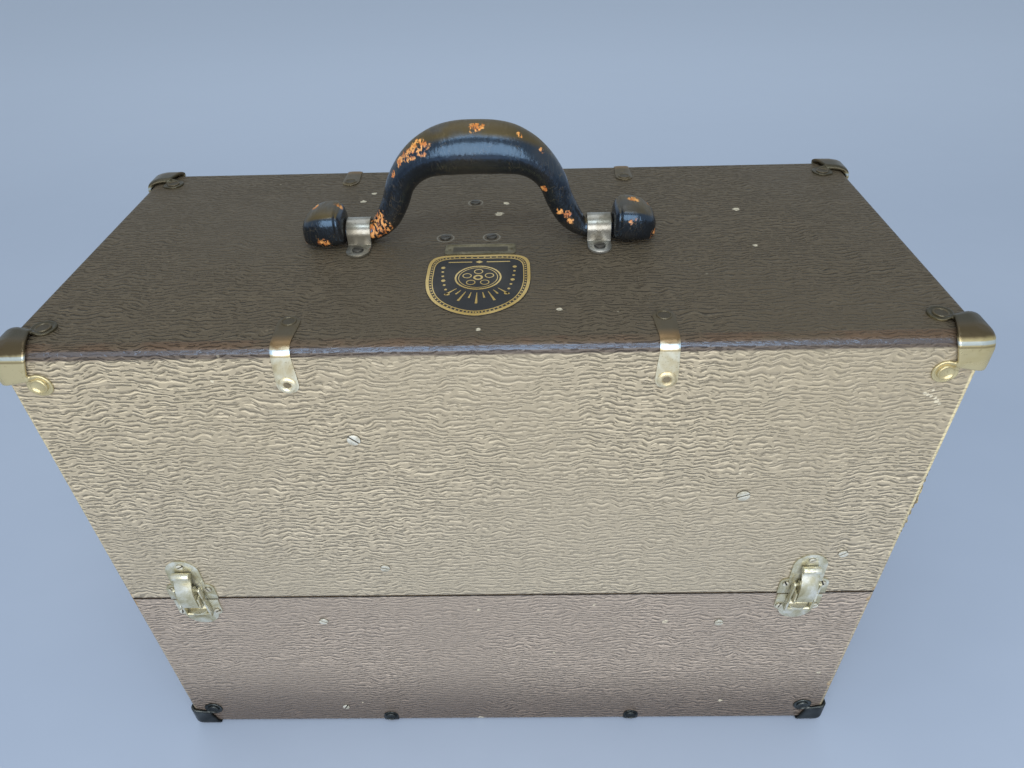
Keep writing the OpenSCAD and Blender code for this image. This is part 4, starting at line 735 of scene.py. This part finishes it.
# edge clips
def edge_clip(name, down, edge_r):
    """A strip bent round the edge: its line runs along the panel, round the bend and down the front"""
    flat = CLIP_L - edge_r
    bend = edge_r * math.pi / 2
    drop = max(down - edge_r, 0)
    length = flat + bend + drop
    end = CLIP_W / 2

    def place(u, v):
        s = -end + v * (length + 2 * end)
        s = min(max(s, -end + 0.02), length + end - 0.02)
        across = 2 * u - 1
        half = end * (1 - 0.14 * math.sin(math.pi * min(max(s / length, 0), 1)) ** 2)
        if s < 0:
            half = math.sqrt(end * end - s * s)
        elif s > length:
            half = math.sqrt(end * end - (s - length) ** 2)
        out = 1.0 - 0.4 * abs(across) ** 5
        rim = min(s + end, length + end - s)
        out -= 0.4 * max(0, 1 - rim / 0.8) ** 2
        x = across * half
        if s < flat:
            return Vector((x, CLIP_L - s, out))
        if s < flat + bend:
            a = (s - flat) / edge_r
            return Vector((x, edge_r - (edge_r + out) * math.sin(a), -edge_r + (edge_r + out) * math.cos(a)))
        return Vector((x, -out, -edge_r - (s - flat - bend)))

    strip = wrapped(name, 14, 70, place)
    modified(strip, "SOLIDIFY", thickness=0.9, offset=-1)
    return strip


def four_clips(name, places, level, up, down, edge_r):
    clips = []
    for x in places:
        for sy in (-1, 1):
            clip = edge_clip("clip", down, edge_r)
            if clip.data.polygons[len(clip.data.polygons) // 4].normal.z < 0:
                clip.data.flip_normals()
            seated(clip, Matrix.Translation((x, -sy * HALF_D, level)) @ Matrix.Diagonal((1, sy, up, 1)))
            clips.append(clip)
    return smooth(joined(name, clips), 50)


finished(four_clips("cover_clips", CLIP_X, TOP, 1, CLIP_L, EDGE_R),
         "cover", CLIP_METAL, "fitting_nickel", "cover_edge_clips")
finished(four_clips("tray_clips", LOW_CLIP_X, BOTTOM, -1, CLIP_LOW, LOW_R),
         "tray", LOW_CAP_METAL, "fitting_nickel", "tray_edge_clips")


# rivets
DISHED = [(0, 1.12), (2.3, 1.12), (3.2, 1.5), (3.65, 1.95), (3.95, 1.8), (4.2, 1.25), (4.2, 0.7), (0, 0.7)]
TUBULAR = [(0, 1.05), (1.9, 1.05), (2.3, 1.7), (3.0, 2.0), (4.0, 1.75), (4.7, 1.2), (4.7, 0.7), (0, 0.7)]
FLAT = [(0, 1.12), (2.9, 1.12), (3.25, 1.42), (3.65, 1.42), (4.0, 1.1), (4.0, 0.7), (0, 0.7)]


def rivet_head(profile, rim, hollow):
    """A hollow rivet: a pale rolled rim round a dark dish"""
    head = turned("rivet", profile, 28)
    head.data.materials.append(rim)
    head.data.materials.append(hollow)
    for side in head.data.polygons:
        if side.center.xy.length < profile[1][0] and side.center.z > 0.9:
            side.material_index = 1
    return head


def rivet_row(name, spots, rim, ear_rim, clip_at):
    heads = []
    for side, u, v in spots:
        profile = FLAT if side in "TD" else TUBULAR if u in clip_at else DISHED
        metals = (ear_rim, ear_rim) if profile is DISHED else (rim, HOLLOW_METAL)
        heads.append(seated(rivet_head(profile, *metals), face(side, u, v)))
    return smooth(joined(name, heads), 40)


ear_u, ear_v = HALF_W - EAR_IN, HALF_D - EAR_AT


def rivet_spots(panel, level, down, places):
    spots = [(panel, sx * ear_u, sy * ear_v) for sx in (-1, 1) for sy in (-1, 1)]
    inward = -1 if panel == "T" else 1
    spots += [(side, sx * ear_u, level + inward * EAR_AT) for side in "FB" for sx in (-1, 1)]
    spots += [(side, sy * ear_v, level + inward * EAR_AT) for side in "LR" for sy in (-1, 1)]
    spots += [(panel, x, sy * (HALF_D - CLIP_L)) for x in places for sy in (-1, 1)]
    spots += [(side, x, level + inward * down) for side in "FB" for x in places]
    return spots


finished(rivet_row("cover_rivet_heads", rivet_spots("T", TOP, CLIP_L, CLIP_X), CLIP_METAL, CAP_METAL, CLIP_X),
         "cover", None, "fitting_nickel", "cover_rivets")
low_spots = rivet_spots("D", BOTTOM, CLIP_LOW, LOW_CLIP_X)
finished(rivet_row("tray_rivet_heads", low_spots, LOW_CAP_METAL, LOW_CAP_METAL, ()), "tray", None,
         "fitting_nickel", "tray_rivets")


# screws
def slotted_head(r, level, turned_by):
    """A flat head: two halves over a slot painted dark as its shade"""
    half_slot = 0.48
    base = turned("screw", [(0, 0.2), (0.95 * r, 0.2), (r, 0.05), (r, -0.4), (0, -0.4)], 28)
    base.data.materials.append(SLOT_SHADE)
    lip = math.degrees(math.asin(half_slot / r))
    parts = [base]
    for way in (0, 180):
        half = pressed("half", arc(0, 0, 0.96 * r, lip, 180 - lip, 14), 0.1, 0.95, bevel=0.22)
        half.data.materials.append(SCREW_METAL)
        parts.append(seated(half, turn(way, "Z"), 1))
    return seated(joined("screw", parts), Matrix.Translation((0, 0, level)) @ turn(turned_by, "Z"), 1)


def screw_row(name, spots):
    """Each spot is a side, two places on it, the level of the seat, the head's radius and its turn"""
    heads = [seated(slotted_head(r, level, turned_by), face(side, u, v)) for side, u, v, level, r, turned_by in spots]
    return smooth(joined(name, heads), 40)


HOLE_AT = 11.2
PLATE_HOLES = ((-HOLE_AT, 167.8), (HOLE_AT, 167.8), (0, 189.9))
KEEPER_HOLES = ((-HOLE_AT, 145.5), (HOLE_AT, 145.5))
latch_places = [(side, x) for side in "FB" for x in LATCH_X]
plate_screws = [(side, x + dx, z, 1.0, 2.2, 40 * dx + 25) for side, x in latch_places for dx, z in PLATE_HOLES]
keeper_screws = [(side, x + dx, z, 1.0, 2.2, 30 * dx + 50) for side, x in latch_places for dx, z in KEEPER_HOLES]
loop_screws = [("T", HANDLE_X + sx * LOOP_X, sy * 14, 1.6, 3.3, 12 * sx) for sx in (-1, 1) for sy in (-1, 1)]
cover_screws = [("T", -27, 2, 0, 3.1, 5), ("T", 0, 2, 0, 3.1, 20), ("T", -11.5, 49.6, 0, 3.1, -10),
                ("F", -71, 291.5, 0, 3.6, -42), ("F", -68.5, 186, 0, 3.0, -15), ("F", 137.5, 246, 0, 3.8, 20),
                ("F", 205, 195, 0, 3.0, 35)]
tray_screws = [("F", -116, 131.5, 0, 3.0, -30), ("F", 142, 126.5, 0, 3.0, 10), ("F", -119, 22.5, 0, 2.6, 60)]
finished(screw_row("cover_screw_heads", plate_screws + loop_screws + cover_screws),
         "cover", None, "screw_steel", "cover_screws")
finished(screw_row("tray_screw_heads", keeper_screws + tray_screws), "tray", None, "screw_steel", "tray_screws")


# handle: half of its spine, each point with x, z, half its height and half its width
LEG = [(0, 54.5, 14.1, 13.4), (10, 54.1, 14, 13.3), (19, 52.6, 13.1, 12.7), (28, 49.1, 11.1, 11.3),
       (35.7, 43.2, 9.2, 9.7), (41.8, 35, 8, 8.4), (46, 24.5, 7.6, 7.8), (51, 15.3, 7.2, 7), (55.5, 10, 6.2, 6.2),
       (60, 7.1, 5.5, 5.6), (61.75, 6.8, 5.5, 5.6), (68.5, 6.8, 5.4, 5.6), (75.25, 6.8, 5.5, 5.6), (76, 7.3, 6.1, 6.6),
       (77.4, 10.05, 8.95, 10.4), (80.6, 11.55, 10.55, 12.4), (85.6, 11.65, 10.75, 13), (91.2, 11.15, 10.15, 12.4),
       (95.9, 9.85, 8.55, 11), (99.1, 8.35, 6.55, 8.4), (100.7, 7.35, 3.8, 4.6)]
SPINE = [(-x, z, n, w) for x, z, n, w in LEG[:0:-1]] + LEG
TOE_AT = 76
TOE_SEAM = 79.8


def spine_at(t):
    """A smooth line through the spine's points, t from 0 to their number less one"""
    i = min(int(t), len(SPINE) - 2)
    t -= i
    a, b, c, d = (SPINE[min(max(k, 0), len(SPINE) - 1)] for k in (i - 1, i, i + 1, i + 2))
    return [0.5 * (2 * q + (r - p) * t + (2 * p - 5 * q + 4 * r - s) * t * t + (3 * q - p - 3 * r + s) * t ** 3)
            for p, q, r, s in zip(a, b, c, d)]


def handle_place(u, v):
    last = len(SPINE) - 1
    t = v * last
    x, z, n, w = spine_at(t)
    x1, z1 = spine_at(max(t - 0.05, 0))[:2]
    x2, z2 = spine_at(min(t + 0.05, last - 1e-6))[:2]
    upright = min(max((LOOP_X - LOOP_W / 2 - abs(x)) / 6, 0), 1)
    lean = math.atan2(z2 - z1, x2 - x1) * upright
    a = 2 * math.pi * u
    if v < 0.004 or v > 0.996:
        n, w = 0.02, 0.02
    toe = max(0.0, min(1.0, (abs(x) - TOE_AT) / 3))
    square = 2 / (2 + 1.5 * toe)
    ca, sa = math.cos(a), math.sin(a)
    ca, sa = math.copysign(abs(ca) ** square, ca), math.copysign(abs(sa) ** square, sa)
    lumps = noise.noise(Vector((x * 0.045, 1.5 * ca, 1.5 * sa))) * 0.22 * (1 - toe)
    seam = toe * 0.4 * math.exp(-((abs(x) - TOE_SEAM) / 0.7) ** 2)
    top = (n + lumps - seam) * sa
    side = (w + lumps - seam) * ca
    return Vector((HANDLE_X + x - top * math.sin(lean), side, TOP + z + top * math.cos(lean)))


handle = wrapped("handle_grip", 40, 520, handle_place)
finished(smooth(seated(handle, Matrix.Identity(4)), 70), "handle", HANDLE_LEATHER, "handle_leather", "handle")


# plates on the top
GOLD = enamel("gold_lines", (0.50, 0.33, 0.09), (0.72, 0.53, 0.22), 0.32, metal=0.4)
LABEL_BLACK = enamel("label_black", (0.010, 0.010, 0.010), (0.035, 0.032, 0.028), 0.58)
PLATE_METAL = tarnished("plate_metal", (0.060, 0.050, 0.028), (0.15, 0.128, 0.074), (0.27, 0.23, 0.14),
                        (0.35, 0.5), 0.45, 90)
LABEL_HALF_W = 28.5
LABEL_HALF_H = 32
LABEL_T = 0.4
LINE_LOW = 0.2
LINE_HIGH = LABEL_T + 0.05
REEL_Y = 6
HUB_AT = 6.3


def shield(k=1.0):
    """The outline of a plain shield, scaled about its middle"""
    right = [(0, 0.97), (0.55, 0.98), (0.86, 0.93), (0.985, 0.74), (0.99, 0.40), (0.99, 0.05), (0.92, -0.32),
             (0.74, -0.64), (0.42, -0.88), (0.10, -0.985)]
    loop = [(side * x * LABEL_HALF_W * k, y * LABEL_HALF_H * k)
            for side, half in ((1, right), (-1, right[:0:-1])) for x, y in half]
    return eased(loop, 3)


def ring(r, x=0, y=REEL_Y, n=60):
    return [(x + r * math.cos(2 * math.pi * i / n), y + r * math.sin(2 * math.pi * i / n)) for i in range(n)]


def ribbon(outer, inner, high=LINE_HIGH):
    """A flat raised line between two loops of as many points"""
    n = len(outer)

    def place(u, v):
        i = int(round(u * n)) % n
        k = int(round(v * 3))
        x, y = outer[i] if k < 2 else inner[i]
        return Vector((x, y, LINE_LOW if k in (0, 3) else high))

    return wrapped("line", n, 3, place)


def raised(outline):
    return pressed("mark", outline, LINE_LOW, LINE_HIGH)


def disc(x, y, r, n):
    return raised(arc(x, y, r, 0, 360 - 360 / n, n - 1))


label = pressed("label_face", shield(), 0, LABEL_T, bevel=0.12)
gold = [ribbon(shield(0.99), shield(0.93), LABEL_T + 0.06), ribbon(shield(0.875), shield(0.855))]
gold += [disc(x, y, 0.55, 8) for x, y in shield(0.902)[::2]]
gold += [ribbon(ring(outer), ring(inner)) for outer, inner in ((12.5, 11.6), (10.6, 10.2), (2.6, 1.5))]
for k in range(5):
    a = math.radians(90 + 72 * k)
    spot = (HUB_AT * math.cos(a), REEL_Y + HUB_AT * math.sin(a), 30)
    gold.append(ribbon(ring(2.5, *spot), ring(2.0, *spot)))
for k in range(9):
    a = math.radians(-90 + (k - 4) * 11)
    r0, r1, half = 15.5, 21.5 + 4.5 * (k % 2 == 0) - 0.5 * abs(k - 4), math.radians(1.5)
    gold.append(raised([(r * math.cos(b), REEL_Y + r * math.sin(b)) for r, b in (
        (r0, a - half * 0.4), (r1, a - half), (r1, a + half), (r0, a + half * 0.4))]))
for sx in (-1, 1):
    gold += [disc(sx * (19.5 - 0.12 * k * k), 17 - 4.6 * k, 0.75 if k % 3 else 1.15, 16) for k in range(7)]
    gold.append(raised([(sx * 4, 22.5), (sx * 17, 22.5), (sx * 17, 23.3), (sx * 4, 23.3)]))
gold.append(raised([(0, 21.4), (2, 22.9), (0, 24.4), (-2, 22.9)]))
gold = joined("gold", gold)
gold.data.materials.append(GOLD)
label.data.materials.append(LABEL_BLACK)
label = seated(joined("label_transfer", [label, gold]), face("T", LABEL_X, LABEL_Y))
finished(label, "cover", None, "label", "label_plate")

PLATE_CORNER = [(18.5, 6), (19.5, 5.5), (20, 4.5)]
bar = pressed("strip_face", [(-x, -y) for x, y in PLATE_CORNER[::-1]] + [(x, -y) for x, y in PLATE_CORNER]
              + [(x, y) for x, y in PLATE_CORNER[::-1]] + [(-x, y) for x, y in PLATE_CORNER],
              0, LABEL_T, bevel=0.1, dish=(1.2, -0.12))
pins = [seated(turned("pin", [(0, 0.6), (0.5, 0.55), (0.8, 0.4), (0.8, 0.1), (0, 0.1)], 16),
               Matrix.Translation((sx * 17.6, 0, 0)), 1) for sx in (-1, 1)]
field = pressed("strip_field", [(-15.5, -2.6), (15.5, -2.6), (15.5, 2.4), (-15.5, 2.4)], 0.1, 0.34)
field.data.materials.append(HOLLOW_METAL)
for piece in [bar] + pins:
    piece.data.materials.append(PLATE_METAL)
bar = seated(joined("narrow_strip", [bar, field] + pins), face("T", LABEL_X, PLATE_Y))
finished(smooth(bar, 40), "cover", None, "plate_brass", "narrow_plate")


# torn covering at the right front post
TORN_LOW = 205
TORN_LENGTH = 62


def torn(u, v):
    ragged = 0.5 + 0.5 * noise.noise(Vector((v * 19, 0.3, 4)))
    reach = (1.2 + 4.2 * ragged) * math.sin(math.pi * v) ** 0.4
    lift = 0.25 + 1.1 * (u ** 2) * (0.4 + 0.6 * ragged) + 0.3 * noise.noise(Vector((v * 11, u * 2, 9)))
    return Vector((HALF_W + min(lift, 1.7), -HALF_D + POST_R + 1.0 - u * reach * 0.8 + 1.2, TORN_LOW + TORN_LENGTH * v))


flap = wrapped("torn_edge", 10, 90, torn)
modified(flap, "SOLIDIFY", thickness=0.4, offset=0)
finished(smooth(seated(flap, Matrix.Identity(4)), 60), "cover", LEATHERETTE_COVER, "leatherette")


# the rest keeps its solid shapes, with eased edges
FINISH = {
    "wood": WOOD, "fitting_nickel": LATCH_METAL, "screw_steel": SCREW_METAL,
    "crackle": enamel("crackle_enamel", (0.035, 0.027, 0.020), (0.095, 0.075, 0.055), 0.42, crackle=0.5),
    "black_enamel": enamel("black_enamel", (0.012, 0.012, 0.013), (0.030, 0.030, 0.032), 0.28),
    "bright_steel": machined("bright_steel", (0.62, 0.62, 0.62), 0.22),
    "plate_brass": machined("lens_brass", (0.62, 0.46, 0.20), 0.24, (0.03, 1, 1)),
    "bakelite": grained("bakelite", (0.015, 0.011, 0.010), (0.040, 0.024, 0.018), 0.22, 300, 0.00005),
    "pad_rubber": grained("pad_rubber", (0.012, 0.012, 0.012), (0.035, 0.034, 0.033), 0.7),
    "belt_leather": grained("belt_leather", (0.10, 0.050, 0.025), (0.22, 0.12, 0.06), 0.5, 500),
    "clear_glass": glassy()}
SMALL_EASE = 0.2
EASE = {"base_casting": 1.2, "main_frame": 1.0, "mechanism_cover": 0.8, "motor_housing": 1.0, "blower_housing": 0.8,
        "lamphouse": 0.4, "lamphouse_cap": 0.6, "reel_arms": 0.8, "tray_boards": 0.4, "cover_boards": 0.4,
        "tray_cleats": 0.5, "cover_battens": 0.6, "handle_loops": 0.5, "lens_carriage": 0.6, "power_inlet": 0.4,
        "speed_knob": 0.4, "base_pads": 0.6, "latch_plates": 0.25, "keeper_plates": 0.25}


def eased_copy(node, finish, ease):
    """The solid shape of one node, merged, with its edges eased"""
    piece = bpy.data.objects.new(node + "_made", nodes[node].data.copy())
    bpy.context.scene.collection.objects.link(piece)
    only(piece)
    if piece.data.has_custom_normals:
        bpy.ops.mesh.customdata_custom_splitnormals_clear()
    edit(piece)
    bpy.ops.mesh.select_all(action="SELECT")
    bpy.ops.mesh.remove_doubles(threshold=0.000002)
    bpy.ops.mesh.dissolve_limited(angle_limit=math.radians(0.3))
    done()
    modified(piece, "BEVEL", width=ease * MM, segments=2, limit_method="ANGLE", angle_limit=math.radians(32),
             use_clamp_overlap=True)
    smooth(piece, 35)
    return finished(piece, body_of[node], finish, slot_of[node], node)


replaced = {"cover_covering", "tray_covering", "cover_corners", "tray_corners", "cover_edge_clips", "tray_edge_clips",
            "cover_rivets", "tray_rivets", "cover_screws", "tray_screws", "handle", "label_plate", "narrow_plate"}
for node in sorted(set(nodes) - replaced):
    finish = LOOP_METAL if node == "handle_loops" else FINISH[slot_of[node]]
    eased_copy(node, finish, EASE.get(node, SMALL_EASE))


# stage, lamps and camera
def softbox(name, spot, aim, wide, high, power, tone):
    lamp = bpy.data.lights.new(name, "AREA")
    lamp.shape = "RECTANGLE"
    lamp.size, lamp.size_y = wide, high
    lamp.energy = power
    lamp.color = tone
    made = bpy.data.objects.new(name, lamp)
    bpy.context.scene.collection.objects.link(made)
    made.location = spot
    made.rotation_euler = (Vector(aim) - Vector(spot)).to_track_quat("-Z", "Y").to_euler()


only()
bpy.ops.mesh.primitive_plane_add(size=14, location=(0, 0, 0))
bpy.ops.object.transform_apply()
floor = bpy.context.object
floor.name = "floor"
cloth = Finish("floor_cloth", Roughness=0.9)
tint = cloth.mix(cloth.between(cloth.noise(1.5, detail=2.0), 0.35, 0.65), (0.34, 0.395, 0.49), (0.38, 0.435, 0.53))
# the cloth turns lighter away behind the case: painted light of a brighter lit backdrop
away = cloth.between(cloth.axes(cloth.place)[1], 0.0, 1.8)
tint = cloth.mix(away, tint, (0.56, 0.63, 0.745))
floor.data.materials.append(cloth.wear(Base_Color=tint, Normal=cloth.relief(cloth.noise(4, detail=3.0), 0.02, 0.25)))

softbox("window", (0.02, -1.0, 0.55), (0.02, -0.10, 0.25), 1.2, 0.8, 10.5, (0.98, 0.98, 1.0))
softbox("sky", (0.05, -0.80, 1.90), (0, 0, 0.30), 1.5, 0.5, 11, (0.72, 0.86, 1.0))
softbox("overhead", (-0.2, 0.6, 1.9), (0, 0, 0.3), 1.4, 1.2, 5, (0.95, 0.97, 1.0))
world = bpy.data.worlds.new("room")
world.use_nodes = True
room_light = world.node_tree.nodes["Background"].inputs
room_light["Color"].default_value = (0.80, 0.90, 1.0, 1)
room_light["Strength"].default_value = 0.62
bpy.context.scene.world = world

# the camera as fitted to the photograph's case: its lens, its place and its turns in radians
LENS_MM = 25.77
FILM_MM = 36
CAMERA_AT = (0.01860, -0.38715, 0.54744)
YAW, PITCH, ROLL = 0.0240882, -0.6675746, 0.0301006
lens = bpy.data.cameras.new("camera")
lens.lens = LENS_MM
lens.sensor_width = FILM_MM
lens.clip_start = 0.01
camera = bpy.data.objects.new("camera", lens)
bpy.context.scene.collection.objects.link(camera)
aim = Matrix.Rotation(YAW, 3, "Z") @ Matrix.Rotation(PITCH, 3, "X") @ Matrix.Rotation(ROLL, 3, "Y")
right, ahead, up = aim.col[0], aim.col[1], aim.col[2]
pose = Matrix((right, up, -ahead)).transposed().to_4x4()
pose.translation = CAMERA_AT
camera.matrix_world = pose
bpy.context.scene.camera = camera
bpy.context.scene.view_settings.view_transform = "Standard"
